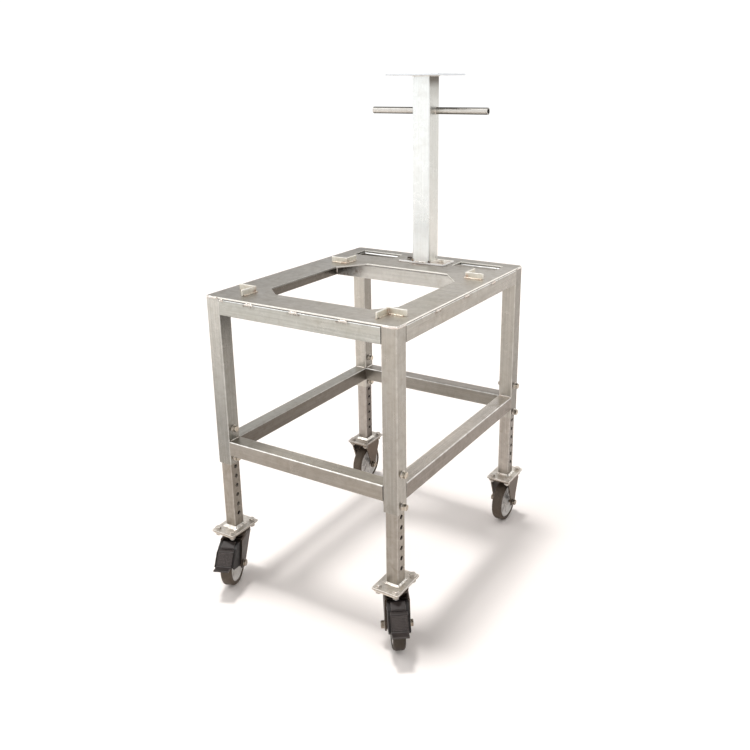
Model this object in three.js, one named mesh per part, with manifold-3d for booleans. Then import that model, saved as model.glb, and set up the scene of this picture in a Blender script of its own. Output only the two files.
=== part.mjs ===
// Mobile equipment stand in stainless tube: a square-tube table frame with a
// cut-out top plate, a rear post with a head plate and a cross bar, telescoping
// legs on bolted foot plates, two braked swivel casters in front and two rigid
// casters behind.
// Millimetres, +Z up, X across the width, +Y towards the post (back).
import * as THREE from 'three';
import { mergeVertices } from 'three/addons/utils/BufferGeometryUtils.js';
import Module from 'manifold-3d';

const wasm = await Module();
wasm.setup();

// ---------------------------------------------------------------- dimensions
const W = 508;                 // frame width over the legs
const D = 635;                 // frame depth over the legs
const GAP = 0.3;               // clearance between touching pieces

const TUBE = 38.1;             // leg and rail tube, outside
const TUBE_WALL = 3.1;
const TUBE_R = 3.6;            // outside corner radius
const INNER = 31.0;            // telescoping inner tube, outside
const INNER_WALL = 2.6;
const INNER_R = 3.0;

const PLATE_TOP = 736.7;       // upper face of the top plate above the floor
const PLATE_T = 4.8;
const LOWER_RAIL_TOP = 379.4;
const SLEEVE_BOTTOM = 317.4;
const INNER_TOP = 483;         // upper end of the inner tube inside the sleeve
const HOLE_FIRST = 178.9;      // lowest adjusting hole above the floor
const HOLE_PITCH = 25.4;
const HOLE_COUNT = 12;
const HOLE_D = 10.5;

const FOOT_TOP = 141.1;        // upper face of the foot plate above the floor
const FOOT_T = 5;
const FOOT_X = 67;
const FOOT_Y = 95;
const STUD_X = 44.5;           // caster bolt spacing
const STUD_Y = 73;
const STUD_D = 7.8;
const STUD_AF = 13;            // hexagon across flats

const CPLATE_T = 3;            // caster plate
const CPLATE_X = 60.3;
const CPLATE_Y = 92;
const WHEEL_R = 56;
const WHEEL_W = 28.5;
const TYRE_R = 46.3;           // inside radius of the tread
const HUB_R = 46;
const HUB_HALF = 16.4;         // half length of the hub boss
const AXLE_R = 4.5;
const TRAIL = 34;              // swivel axis to wheel axle
const FORK_IN = 24.5;          // half width inside the fork
const FORK_OUT = 28;
const SWIVEL_FL = 23;           // resting swivel angle, degrees
const SWIVEL_FR = 36.5;

const POST = 50.8;
const POST_WALL = 3.2;
const POST_R = 4.6;
const POST_X = 267.5;          // post centre across the width
const POST_Y0 = 522;           // front face of the post
const POST_BASE_X = 136;
const POST_BASE_Y = 61;
const HEAD = 148;              // square head plate
const HEAD_T = 4.8;
const HEAD_UNDER = 1211.6;     // underside of the head plate
const BAR_D = 17;
const BAR_WALL = 2.2;
const BAR_X0 = 106, BAR_X1 = 436, BAR_Y = 558, BAR_Z = 1127.3;

const BRACKET_ARM = 48;         // locating angle brackets on the top plate
const BRACKET_T = 4.8;
const BRACKET_H = 14;

const LOCK_Z = [331.3, 407.5]; // clamp screws on each sleeve

// shift that puts the origin under the middle of the overall box
const ORIGIN_X = 277.754;
const ORIGIN_Y = 287.747;

// ---------------------------------------------------------------- materials
const mat = (hex, rough, metal) => new THREE.MeshStandardMaterial({ color: hex, roughness: rough, metalness: metal });
const steel = () => mat(0xb9b2a6, 0.36, 1.0);
const plateSteel = () => mat(0xb1a99d, 0.42, 1.0);
const postSteel = () => mat(0xdad8d2, 0.34, 1.0);
const zinc = () => mat(0xa79d90, 0.45, 1.0);
const boltSteel = () => mat(0x8d867b, 0.4, 1.0);
const blackNylon = () => mat(0x2b2726, 0.55, 0.0);
const tread = () => mat(0x51473a, 0.75, 0.0);
const hubGrey = () => mat(0x8e8c8e, 0.6, 0.0);

// ---------------------------------------------------------------- helpers
const toSolid = (geo) => {
  const g = geo.clone();
  g.deleteAttribute('normal');
  if (g.getAttribute('uv')) g.deleteAttribute('uv');
  const m = mergeVertices(g, 1e-4);
  return new wasm.Manifold(new wasm.Mesh({
    numProp: 3,
    vertProperties: new Float32Array(m.getAttribute('position').array),
    triVerts: new Uint32Array(m.getIndex().array),
  }));
};
const toGeo = (solid) => {
  const m = solid.getMesh();
  const np = m.numProp;
  const n = m.vertProperties.length / np;
  const pos = new Float32Array(n * 3);
  for (let i = 0; i < n; i++) for (let k = 0; k < 3; k++) pos[3 * i + k] = m.vertProperties[np * i + k];
  const g = new THREE.BufferGeometry();
  g.setAttribute('position', new THREE.BufferAttribute(pos, 3));
  g.setIndex(new THREE.BufferAttribute(new Uint32Array(m.triVerts), 1));
  g.computeVertexNormals();
  return g;
};
const cut = (geo, ...tools) => tools.reduce((s, t) => s.subtract(toSolid(t)), toSolid(geo));
const join = (first, ...rest) => rest.reduce((s, t) => s.add(t instanceof THREE.BufferGeometry ? toSolid(t) : t),
  first instanceof THREE.BufferGeometry ? toSolid(first) : first);

// corner-rounded rectangle centred on (cx, cy), as a list of points
const roundRect = (w, h, r, seg = 3, cx = 0, cy = 0) => {
  const pts = [];
  const c = [[w / 2 - r, h / 2 - r, 0], [-w / 2 + r, h / 2 - r, 90], [-w / 2 + r, -h / 2 + r, 180], [w / 2 - r, -h / 2 + r, 270]];
  for (const [x, y, a0] of c) {
    for (let i = 0; i <= seg; i++) {
      const a = (a0 + 90 * i / seg) * Math.PI / 180;
      pts.push(new THREE.Vector2(cx + x + r * Math.cos(a), cy + y + r * Math.sin(a)));
    }
  }
  return pts;
};
const V2 = (list) => list.map(([x, y]) => new THREE.Vector2(x, y));
// prism standing on z = 0 from a point list and hole lists
const prism = (outer, holes, depth) => {
  const s = new THREE.Shape(outer);
  for (const h of holes) s.holes.push(new THREE.Path(h));
  return new THREE.ExtrudeGeometry(s, { depth, bevelEnabled: false });
};
const boxTube = (size, wall, r, length) =>
  prism(roundRect(size, size, r), [roundRect(size - 2 * wall, size - 2 * wall, Math.max(r - wall, 0.8), 1)], length);
// turn a +Z prism to run along +X or +Y from its origin
const alongX = (g) => g.rotateY(Math.PI / 2);
const alongY = (g) => g.rotateX(-Math.PI / 2);
const rod = (r, len, seg = 16) => new THREE.CylinderGeometry(r, r, len, seg);            // axis Y, centred
const rodX = (r, len, seg = 16) => rod(r, len, seg).rotateZ(Math.PI / 2);
const rodZ = (r, len, seg = 16) => rod(r, len, seg).rotateX(Math.PI / 2);
const hex = (af, len) => rod(af / Math.sqrt(3), len, 6);                                 // axis Y, centred
const hexX = (af, len) => hex(af, len).rotateZ(Math.PI / 2);
const hexZ = (af, len) => hex(af, len).rotateX(Math.PI / 2);
const block = (x0, x1, y0, y1, z0, z1) =>
  new THREE.BoxGeometry(x1 - x0, y1 - y0, z1 - z0).translate((x0 + x1) / 2, (y0 + y1) / 2, (z0 + z1) / 2);

const stand = new THREE.Group();
stand.position.set(-ORIGIN_X, -ORIGIN_Y, 0);
const add = (name, geo, material, parent = stand) => {
  const m = new THREE.Mesh(geo, material);
  m.name = name;
  parent.add(m);
  return m;
};

// ---------------------------------------------------------------- top plate
{
  const outline = roundRect(W, D, 4.5, 3, W / 2, D / 2);
  const opening = V2([[88.5, 124], [136, 83], [393, 83], [434, 130], [434, 393], [380, 457], [141, 457], [88.5, 388]]);
  const slotL = roundRect(125, 54, 3, 2, 102.5, 575);
  const slotR = roundRect(122, 54, 3, 2, 408, 575);
  const bolt = (x) => {
    const p = [];
    for (let i = 0; i < 12; i++) p.push(new THREE.Vector2(x + 4.6 * Math.cos(i * Math.PI / 6), 548 + 4.6 * Math.sin(i * Math.PI / 6)));
    return p;
  };
  const g = prism(outline, [opening, slotL, slotR, bolt(220), bolt(315)], PLATE_T);
  g.translate(0, 0, PLATE_TOP - PLATE_T);
  add('top_plate', g, plateSteel());
}

// ---------------------------------------------------------------- tube frame
const railZ = PLATE_TOP - PLATE_T - GAP - TUBE / 2;          // top rail centre height
const lowZ = LOWER_RAIL_TOP - TUBE / 2;
const h2 = TUBE / 2;
const runX = W - 2 * TUBE - 2 * GAP;
const runY = D - 2 * TUBE - 2 * GAP;
const rail = (name, axis, x, y, z, len) => {
  const g = axis === 'x' ? alongX(boxTube(TUBE, TUBE_WALL, TUBE_R, len)) : alongY(boxTube(TUBE, TUBE_WALL, TUBE_R, len));
  const m = add(name, g, steel());
  m.position.set(x, y, z);
};
rail('top_rail_front', 'x', TUBE + GAP, h2, railZ, runX);
rail('top_rail_rear', 'x', TUBE + GAP, D - h2, railZ, runX);
rail('top_rail_left', 'y', h2, TUBE + GAP, railZ, runY);
rail('top_rail_right', 'y', W - h2, TUBE + GAP, railZ, runY);
rail('cross_rail', 'x', TUBE + GAP, 463 + h2, railZ, runX);
rail('lower_rail_front', 'x', TUBE + GAP, h2, lowZ, runX);
rail('lower_rail_rear', 'x', TUBE + GAP, D - h2, lowZ, runX);
rail('lower_rail_left', 'y', h2, TUBE + GAP, lowZ, runY);
rail('lower_rail_right', 'y', W - h2, TUBE + GAP, lowZ, runY);

// ---------------------------------------------------------------- legs
const legs = {
  front_left: [h2, h2, SWIVEL_FL],
  front_right: [W - h2, h2, SWIVEL_FR],
  rear_right: [W - h2, D - h2, null],
  rear_left: [h2, D - h2, null],
};
const sleeveLen = PLATE_TOP - PLATE_T - GAP - SLEEVE_BOTTOM;
const innerZ0 = FOOT_TOP + GAP;
const footUnder = FOOT_TOP - FOOT_T;
const cTop = footUnder - GAP;                                // upper face of the caster plate
const cUnder = cTop - CPLATE_T;

// one wheel axle with a hexagon head and a nut, along X
const axleGeo = () => toGeo(join(
  rodX(AXLE_R, 66.5, 12).translate(-0.5, 0, 0),
  rodX(9, 1.6, 12).translate(-(FORK_OUT + GAP + 0.8), 0, 0),
  hexX(15, 7.6).translate(-(FORK_OUT + GAP + 1.6 + 3.7), 0, 0),
  hexX(15, 7.2).translate(FORK_OUT + GAP + 3.6, 0, 0),
));
// tread ring and hub about X
const tyreGeo = () => {
  const h = WHEEL_W / 2, r = WHEEL_R, ri = TYRE_R;
  const p = V2([[ri, -h + 1], [r - 5, -h], [r, -h + 5], [r, h - 5], [r - 5, h], [ri, h - 1], [ri, -h + 1]]);
  return new THREE.LatheGeometry(p, 32).rotateZ(Math.PI / 2);
};
const hubGeo = () => {
  const b = AXLE_R + 0.08, h = WHEEL_W / 2;
  const p = V2([[b, -HUB_HALF], [12, -HUB_HALF], [14, -8], [HUB_R, -h + 2],
    [HUB_R, h - 2], [14, 8], [12, HUB_HALF], [b, HUB_HALF], [b, -HUB_HALF]]);
  return new THREE.LatheGeometry(p, 24).rotateZ(Math.PI / 2);
};
// side outline (distance from the swivel axis, height) to a plate between two X planes; +distance is -Y
const sidePlate = (outline, xa, xb) => {
  const g = prism(V2(outline.map(([r, z]) => [r, z])), [], xb - xa);   // in (r, z), thickness +Z
  // (r, z, t) -> (xb - t, -r, z)
  const m = new THREE.Matrix4().set(0, 0, -1, xb, -1, 0, 0, 0, 0, 1, 0, 0, 0, 0, 0, 1);
  g.applyMatrix4(m);
  return g;
};

for (const [tag, [cx, cy, swivel]] of Object.entries(legs)) {
  // outer sleeve with two clamp screw holes in its +X wall
  const sleeve = cut(boxTube(TUBE, TUBE_WALL, TUBE_R, sleeveLen),
    ...LOCK_Z.map((z) => rodX(4.6, 12, 8).translate(h2, 0, z - SLEEVE_BOTTOM)));
  add(`leg_sleeve_${tag}`, toGeo(sleeve), steel()).position.set(cx, cy, SLEEVE_BOTTOM);

  // clamp screws: welded boss, hexagon head, shank that stops just short of the inner tube
  ['lower', 'upper'].forEach((level, i) => {
    const tip = INNER / 2 + GAP;
    const g = toGeo(join(
      rodX(4.1, h2 + 8 - tip, 8).translate((h2 + 8 + tip) / 2, 0, 0),
      rodX(8, 3, 14).translate(h2 + GAP + 1.5, 0, 0),
      hexX(13, 7.4).translate(h2 + GAP + 2.9 + 3.7, 0, 0),
    ));
    add(`lock_screw_${tag}_${level}`, g, boltSteel()).position.set(cx, cy, LOCK_Z[i]);
  });

  // inner tube with a row of adjusting holes through both X walls
  const holes = [];
  for (let i = 0; i < HOLE_COUNT; i++) holes.push(rodX(HOLE_D / 2, INNER + 10, 8).translate(0, 0, HOLE_FIRST + i * HOLE_PITCH - innerZ0));
  const inner = cut(boxTube(INNER, INNER_WALL, INNER_R, INNER_TOP - innerZ0), ...holes);
  add(`inner_leg_${tag}`, toGeo(inner), steel()).position.set(cx, cy, innerZ0);

  // foot plate with its four caster bolts made in one with it: heads above, nuts below
  const footParts = [prism(roundRect(FOOT_X, FOOT_Y, 2, 1), [], FOOT_T).translate(0, 0, footUnder)];
  const spots = [[-1, -1], [1, -1], [1, 1], [-1, 1]].map(([a, b]) => [a * STUD_X / 2, b * STUD_Y / 2]);
  for (const [x, y] of spots) {
    footParts.push(hexZ(STUD_AF, 5.4).translate(x, y, FOOT_TOP + 2.6));
    footParts.push(rodZ(STUD_D / 2, 20.5, 8).translate(x, y, FOOT_TOP + 2 - 10.25));
    footParts.push(hexZ(STUD_AF, 6).translate(x, y, cUnder - GAP - 3));
  }
  add(`foot_plate_${tag}`, toGeo(join(...footParts)), zinc()).position.set(cx, cy, 0);

  const plateHoles = spots.map(([x, y]) => {
    const p = [];
    for (let i = 0; i < 8; i++) p.push(new THREE.Vector2(x + 4.6 * Math.cos(i * Math.PI / 4), y + 4.6 * Math.sin(i * Math.PI / 4)));
    return p;
  });
  const cplate = prism(roundRect(CPLATE_X, CPLATE_Y, 4, 2), plateHoles, CPLATE_T).translate(0, 0, cUnder);
  const unit = new THREE.Group();
  unit.position.set(cx, cy, 0);
  stand.add(unit);

  if (swivel !== null) {
    // swivel caster: top plate with its king pin
    const top = join(cplate, rodZ(6, cUnder - 112 + 0.5, 14).translate(0, 0, (cUnder + 0.5 + 112) / 2), hexZ(17, 5).translate(0, 0, 114.6));
    add(`caster_plate_${tag}`, toGeo(top), zinc(), unit);

    const turn = new THREE.Group();
    turn.rotation.z = swivel * Math.PI / 180;
    unit.add(turn);

    // fork: ball race, crown and two legs leaning back to the axle
    const leg = [[-30, 120.7], [-30, 110], [-18, 98], [20, 51], [27, 44], [38, 42.5], [46, 47], [48.5, 58], [33, 120.7]];
    let fork = join(
      rodZ(25.5, cUnder - GAP - 120, 24).translate(0, 0, (cUnder - GAP + 120) / 2),
      rodZ(28.4, 3.4, 24).translate(0, 0, 122.4),
      block(-FORK_OUT + 0.4, FORK_OUT - 0.4, -33.6, 30.6, 117.8, 121.4),
      sidePlate(leg, -FORK_OUT, -FORK_IN),
      sidePlate(leg, FORK_IN, FORK_OUT),
    );
    fork = fork.subtract(toSolid(rodZ(6.3, 40, 18).translate(0, 0, 125)));
    fork = fork.subtract(toSolid(rodX(AXLE_R + GAP, 80, 16).translate(0, -TRAIL, WHEEL_R)));
    add(`caster_fork_${tag}`, toGeo(fork), zinc(), turn);

    add(`axle_${tag}`, axleGeo(), boltSteel(), turn).position.set(0, -TRAIL, WHEEL_R);
    add(`tyre_${tag}`, tyreGeo(), tread(), turn).position.set(0, -TRAIL, WHEEL_R);
    add(`wheel_hub_${tag}`, hubGeo(), hubGrey(), turn).position.set(0, -TRAIL, WHEEL_R);

    // brake pedal: stepped tread plate and its bent back on two cheeks that hang on the axle
    const pad = [[44, 117], [46, 121], [64, 114.6], [68, 110.6], [75, 109.6], [98, 81.6], [117.5, 83.6], [117.5, 79.8], [95.5, 77], [72, 105.2], [65.5, 106.4], [61.5, 110.6]];
    const cheek = [[36, 114], [36, 117.2], [46, 119], [62, 112.4], [66.5, 108.4], [73.5, 107.4], [96.5, 79.5], [88, 70], [52, 58], [44, 50], [34, 46.5], [26, 50], [24.2, 58], [30, 74], [34, 100]];
    const back = [[36, 113.8], [36, 117.2], [49, 118.3], [63.6, 112.8], [66.8, 109.3], [73.6, 107.7], [95.4, 80.7], [93.2, 77.8], [71.2, 103.8], [65, 105], [61, 109.2], [47, 113.6]];
    let pedal = join(
      sidePlate(pad, -18.8, 18.8),
      sidePlate(back, -23.9, 23.9),
      sidePlate(cheek, -24, -20.2),
      sidePlate(cheek, 20.2, 24),
    );
    pedal = pedal.subtract(toSolid(rodX(AXLE_R + GAP, 80, 16).translate(0, -TRAIL, WHEEL_R)));
    add(`brake_pedal_${tag}`, toGeo(pedal), blackNylon(), turn);
  } else {
    // rigid caster: plate and two tapering legs pressed in one, wheel straight below
    const leg = [[-33, cUnder + 1], [-33, 122], [-12, 62], [-10, 48], [0, 43], [10, 48], [12, 62], [33, 122], [33, cUnder + 1]];
    let fork = join(cplate, sidePlate(leg, -FORK_OUT, -FORK_IN), sidePlate(leg, FORK_IN, FORK_OUT));
    // the two inner nut pockets leave room for the bolts and nuts of the foot plate
    for (const [x, y] of spots) fork = fork.subtract(toSolid(rodZ(8.6, 9, 10).translate(x, y, cUnder - 4.6)));
    fork = fork.subtract(toSolid(rodX(AXLE_R + GAP, 80, 16).translate(0, 0, WHEEL_R)));
    add(`rigid_fork_${tag}`, toGeo(fork), zinc(), unit);
    add(`axle_${tag}`, axleGeo(), boltSteel(), unit).position.set(0, 0, WHEEL_R);
    add(`tyre_${tag}`, tyreGeo(), tread(), unit).position.set(0, 0, WHEEL_R);
    add(`wheel_hub_${tag}`, hubGeo(), hubGrey(), unit).position.set(0, 0, WHEEL_R);
  }
}

// ---------------------------------------------------------------- post
{
  const yc = POST_Y0 + POST / 2;
  const z0 = PLATE_TOP + GAP;
  const circle = (x, y, r, n = 12) => {
    const p = [];
    for (let i = 0; i < n; i++) p.push(new THREE.Vector2(x + r * Math.cos(2 * Math.PI * i / n), y + r * Math.sin(2 * Math.PI * i / n)));
    return p;
  };
  const base = prism(roundRect(POST_BASE_X, POST_BASE_Y, 2, 2, POST_X, POST_Y0 + POST_BASE_Y / 2), [circle(220, 548, 4.6), circle(315, 548, 4.6)], 4.8);
  add('post_base_plate', base.translate(0, 0, z0), plateSteel());

  const pz = z0 + 4.8 + GAP;
  const len = HEAD_UNDER - GAP - pz;
  const post = cut(boxTube(POST, POST_WALL, POST_R, len), rodX(BAR_D / 2 + GAP, 80, 20).translate(0, BAR_Y - yc, BAR_Z - pz));
  add('post', toGeo(post), postSteel()).position.set(POST_X, yc, pz);

  const head = prism(roundRect(HEAD, HEAD, 2.5, 2, POST_X, yc), [], HEAD_T);
  add('post_head_plate', head.translate(0, 0, HEAD_UNDER), postSteel());

  const bar = prism(circle(0, 0, BAR_D / 2, 20), [circle(0, 0, BAR_D / 2 - BAR_WALL, 16)], BAR_X1 - BAR_X0);
  add('cross_bar', alongX(bar), steel()).position.set(BAR_X0, BAR_Y, BAR_Z);

  // base bolts: head on the base plate, nut under the top plate
  [['left', 220], ['right', 315]].forEach(([tag, x]) => {
    const top = z0 + 4.8 + GAP;
    const under = PLATE_TOP - PLATE_T - GAP;
    const g = toGeo(join(
      rodZ(4.1, top + 3 - (under - 10), 10).translate(0, 0, (top + 3 + under - 10) / 2),
      hexZ(13, 5.6).translate(0, 0, top + 2.8),
      hexZ(13, 6.5).translate(0, 0, under - 3.25),
    ));
    add(`post_bolt_${tag}`, g, boltSteel()).position.set(x, 548, 0);
  });
}

// ---------------------------------------------------------------- locating brackets
const bracket = (name, vx, vy, sx, sy) => {
  const a = BRACKET_ARM, t = BRACKET_T;
  let pts = [[0, 0], [a * sx, 0], [a * sx, t * sy], [t * sx, t * sy], [t * sx, a * sy], [0, a * sy]];
  if (sx * sy < 0) pts = pts.reverse();
  const g = prism(V2(pts), [], BRACKET_H);
  add(name, g, plateSteel()).position.set(vx, vy, PLATE_TOP + GAP);
};
bracket('locating_bracket_front_left', 83, 80, -1, -1);
bracket('locating_bracket_front_right', 440, 77, 1, -1);
bracket('locating_bracket_rear_right', 439, 440, 1, 1);
bracket('locating_bracket_rear_left', 92, 432, -1, 1);

export default stand;
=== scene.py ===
# Looks for the mobile equipment stand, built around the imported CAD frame.
# Pieces are built in millimetres in the stand's own frame (left front corner of the legs at 0, 0),
# then shifted to the row frame in metres.
import bpy
import math
import random
from mathutils import Vector, Matrix
from mathutils.geometry import tessellate_polygon


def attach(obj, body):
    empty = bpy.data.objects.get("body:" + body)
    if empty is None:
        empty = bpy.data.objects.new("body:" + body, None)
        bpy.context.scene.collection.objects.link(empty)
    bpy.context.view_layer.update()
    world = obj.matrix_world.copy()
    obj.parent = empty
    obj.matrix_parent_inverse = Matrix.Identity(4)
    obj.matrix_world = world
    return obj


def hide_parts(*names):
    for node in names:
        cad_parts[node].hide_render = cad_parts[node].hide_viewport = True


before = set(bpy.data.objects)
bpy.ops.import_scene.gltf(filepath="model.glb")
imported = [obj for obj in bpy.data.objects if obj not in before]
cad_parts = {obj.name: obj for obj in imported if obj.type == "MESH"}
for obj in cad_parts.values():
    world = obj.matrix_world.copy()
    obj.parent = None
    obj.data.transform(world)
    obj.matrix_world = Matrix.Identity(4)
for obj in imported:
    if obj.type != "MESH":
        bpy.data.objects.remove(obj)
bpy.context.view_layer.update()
scene = bpy.context.scene
pi = math.pi

# ------------------------------------------------------------------ stand dimensions (mm)
OX, OY = 277.754, 287.747
W, D = 508.0, 635.0
GAP = 0.3
TUBE, TUBE_WALL, TUBE_R = 38.1, 3.1, 3.6
INNER, INNER_WALL, INNER_R = 31.0, 2.6, 3.0
PLATE_TOP, PLATE_T = 736.7, 4.8
LOWER_TOP = 379.4
SLEEVE_BOTTOM, INNER_TOP = 317.4, 483.0
FOOT_TOP, FOOT_T = 141.1, 5.0
HOLE_FIRST, HOLE_PITCH, HOLE_COUNT, HOLE_D = 178.9, 25.4, 12, 10.5
LOCK_Z = (331.3, 407.5)
WHEEL_R, TRAIL = 56.0, 34.0
H2 = TUBE / 2
LEGS = {
    "front_left": (H2, H2, 23.0),
    "front_right": (W - H2, H2, 36.5),
    "rear_right": (W - H2, D - H2, None),
    "rear_left": (H2, D - H2, None),
}
MM = Matrix.Translation((-OX / 1000, -OY / 1000, 0)) @ Matrix.Diagonal((0.001, 0.001, 0.001, 1))


def T(x=0, y=0, z=0):
    return Matrix.Translation((x, y, z))


def R(deg, axis):
    return Matrix.Rotation(math.radians(deg), 4, axis)


# ------------------------------------------------------------------ mesh parts: (verts, faces), millimetres
def moved(part, M):
    V, F = part
    return [M @ Vector(v) for v in V], F


def area2(p):
    return sum(p[i][0] * p[(i + 1) % len(p)][1] - p[(i + 1) % len(p)][0] * p[i][1] for i in range(len(p)))


def turned(p, ccw):
    return list(p) if (area2(p) > 0) == ccw else list(reversed(p))


def inset(p, d):
    """each corner moved to the left of the running direction by d, mitred"""
    out = []
    n = len(p)
    for i in range(n):
        a, b, c = Vector(p[i - 1][:2]), Vector(p[i][:2]), Vector(p[(i + 1) % n][:2])
        e1, e2 = (b - a).normalized(), (c - b).normalized()
        n1, n2 = Vector((-e1.y, e1.x)), Vector((-e2.y, e2.x))
        m = n1 + n2
        if m.length < 1e-6:
            m = n1.copy()
        m.normalize()
        k = d / max(0.35, m.dot(n1))
        out.append((b.x + m.x * k, b.y + m.y * k))
    return out


def prism(outer, holes=(), z0=0.0, z1=1.0, b=0.4, seg=2):
    """extruded outline with holes, its edges rounded by b"""
    loops = [turned(outer, True)] + [turned(h, False) for h in holes]
    prof = []
    if b > 0:
        for i in range(seg + 1):
            a = pi / 2 * i / seg
            prof.append((b * (1 - math.sin(a)), z0 + b * (1 - math.cos(a))))
        for i in range(seg + 1):
            a = pi / 2 * i / seg
            prof.append((b * (1 - math.cos(a)), z1 - b * (1 - math.sin(a))))
    else:
        prof = [(0, z0), (0, z1)]
    V, F, first, last = [], [], [], []
    for lp in loops:
        n = len(lp)
        base = len(V)
        for d, z in prof:
            V += [(x, y, z) for x, y in (inset(lp, d) if d else lp)]
        for k in range(len(prof) - 1):
            a, c = base + k * n, base + (k + 1) * n
            for i in range(n):
                j = (i + 1) % n
                F.append((a + i, a + j, c + j, c + i))
        first.append(list(range(base, base + n)))
        last.append(list(range(base + (len(prof) - 1) * n, base + len(prof) * n)))
    for rings, up in ((first, False), (last, True)):
        flat = [i for r in rings for i in r]
        if len(rings) == 1 and convex(loops[0]):
            F.append(tuple(flat) if up else tuple(reversed(flat)))
            continue
        tris = tessellate_polygon([[Vector((V[i][0], V[i][1], 0)) for i in r] for r in rings])
        for t in tris:
            q = [flat[i] for i in t]
            s = area2([V[i] for i in q])
            if abs(s) < 1e-9:
                continue
            F.append(tuple(q) if (s > 0) == up else tuple(reversed(q)))
    return V, F


def convex(p):
    n = len(p)
    for i in range(n):
        a, b, c = p[i - 1], p[i], p[(i + 1) % n]
        if (b[0] - a[0]) * (c[1] - b[1]) - (b[1] - a[1]) * (c[0] - b[0]) < -1e-9:
            return False
    return True


def rrect(w, h, r, seg=6, cx=0.0, cy=0.0):
    pts = []
    for x, y, a0 in ((w / 2 - r, h / 2 - r, 0), (-w / 2 + r, h / 2 - r, 90), (-w / 2 + r, -h / 2 + r, 180), (w / 2 - r, -h / 2 + r, 270)):
        for i in range(seg + 1):
            a = math.radians(a0 + 90 * i / seg)
            pts.append((cx + x + r * math.cos(a), cy + y + r * math.sin(a)))
    return pts


def circle(x, y, r, n=32):
    return [(x + r * math.cos(2 * pi * i / n), y + r * math.sin(2 * pi * i / n)) for i in range(n)]


def fillet(p, r, seg=4):
    """rounds the corners of a polygon"""
    out = []
    n = len(p)
    rs = r if isinstance(r, (list, tuple)) else [r] * n
    for i in range(n):
        a, b, c = Vector(p[i - 1]), Vector(p[i]), Vector(p[(i + 1) % n])
        u, v = (a - b), (c - b)
        ang = u.angle(v)
        if rs[i] <= 0 or ang > pi - 0.05:
            out.append((b.x, b.y))
            continue
        t = min(rs[i] / math.tan(ang / 2), u.length * 0.48, v.length * 0.48)
        rr = t * math.tan(ang / 2)
        u.normalize()
        v.normalize()
        cen = b + (u + v).normalized() * (rr / math.sin(ang / 2))
        s, e = b + u * t - cen, b + v * t - cen
        tot = s.angle_signed(e) if hasattr(s, "angle_signed") else 0
        a0 = math.atan2(s.y, s.x)
        a1 = math.atan2(e.y, e.x)
        dlt = (a1 - a0 + pi) % (2 * pi) - pi
        for k in range(seg + 1):
            q = a0 + dlt * k / seg
            out.append((cen.x + rr * math.cos(q), cen.y + rr * math.sin(q)))
    return out


def sqtube(size, wall, r, length, seg=6, b=0.45):
    ri = max(r - wall, 0.9)
    return prism(rrect(size, size, r, seg), [rrect(size - 2 * wall, size - 2 * wall, ri, 3)], 0, length, b, 2)


def lathe(prof, seg=64):
    """closed outline of (r, z) turned about Z; a point on the axis is one vertex"""
    V, F, idx = [], [], []
    for r, z in prof:
        if r < 1e-6:
            idx.append([len(V)])
            V.append((0, 0, z))
        else:
            idx.append(list(range(len(V), len(V) + seg)))
            V += [(r * math.cos(2 * pi * i / seg), r * math.sin(2 * pi * i / seg), z) for i in range(seg)]
    n = len(prof)
    closed = prof[0][0] > 1e-6 or prof[-1][0] > 1e-6
    for k in range(n if closed else n - 1):
        a, c = idx[k], idx[(k + 1) % n]
        for i in range(seg):
            j = (i + 1) % seg
            if len(a) == 1 and len(c) == 1:
                continue
            if len(a) == 1:
                F.append((a[0], c[j], c[i]))
            elif len(c) == 1:
                F.append((a[i], a[j], c[0]))
            else:
                F.append((a[i], a[j], c[j], c[i]))
    # outward check on the summed volume
    vol = 0
    for f in F:
        for k in range(1, len(f) - 1):
            vol += Vector(V[f[0]]).dot(Vector(V[f[k]]).cross(Vector(V[f[k + 1]])))
    return (V, F) if vol > 0 else (V, [tuple(reversed(f)) for f in F])


def rod(r, z0, z1, ch=0.5, seg=32):
    return lathe([(0, z0), (r - ch, z0), (r, z0 + ch), (r, z1 - ch), (r - ch, z1), (0, z1)], seg)


def ring(ri, ro, z0, z1, ch=0.25, seg=40):
    return lathe([(ri, z0), (ro - ch, z0), (ro, z0 + ch), (ro, z1 - ch), (ro - ch, z1), (ri, z1)], seg)


def stud(r, z0, z1, pitch=1.25, seg=24):
    """threaded end: a row of V ridges"""
    prof = [(0, z0), (r - 0.6, z0)]
    z = z0 + 0.4
    while z + pitch < z1 - 0.4:
        prof += [(r - 0.45, z), (r, z + pitch / 2)]
        z += pitch
    prof += [(r - 0.45, z), (r - 0.6, z1), (0, z1)]
    return lathe(prof, seg)


def hexa(af, h, top=True, bottom=False, per=8):
    """hexagon head or nut standing on z = 0, corners chamfered by a cone"""
    n = 6 * per
    rc, t = af / 2 * 0.955, 0.5

    def rad(i):
        a = (2 * pi * i / n) % (pi / 3) - pi / 6
        return af / 2 / math.cos(a)
    rows = []
    if bottom:
        rows.append([(rc, 0.0)] * n)
        rows.append([(rad(i), (rad(i) - rc) * t) for i in range(n)])
    else:
        rows.append([(rad(i), 0.0) for i in range(n)])
    if top:
        rows.append([(rad(i), h - (rad(i) - rc) * t) for i in range(n)])
        rows.append([(rc, h)] * n)
    else:
        rows.append([(rad(i), h) for i in range(n)])
    V, F = [], []
    for row in rows:
        V += [(r * math.cos(2 * pi * i / n), r * math.sin(2 * pi * i / n), z) for i, (r, z) in enumerate(row)]
    for k in range(len(rows) - 1):
        for i in range(n):
            j = (i + 1) % n
            F.append((k * n + i, k * n + j, (k + 1) * n + j, (k + 1) * n + i))
    F.append(tuple(reversed(range(n))))
    F.append(tuple(range((len(rows) - 1) * n, len(rows) * n)))
    return V, F


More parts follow.
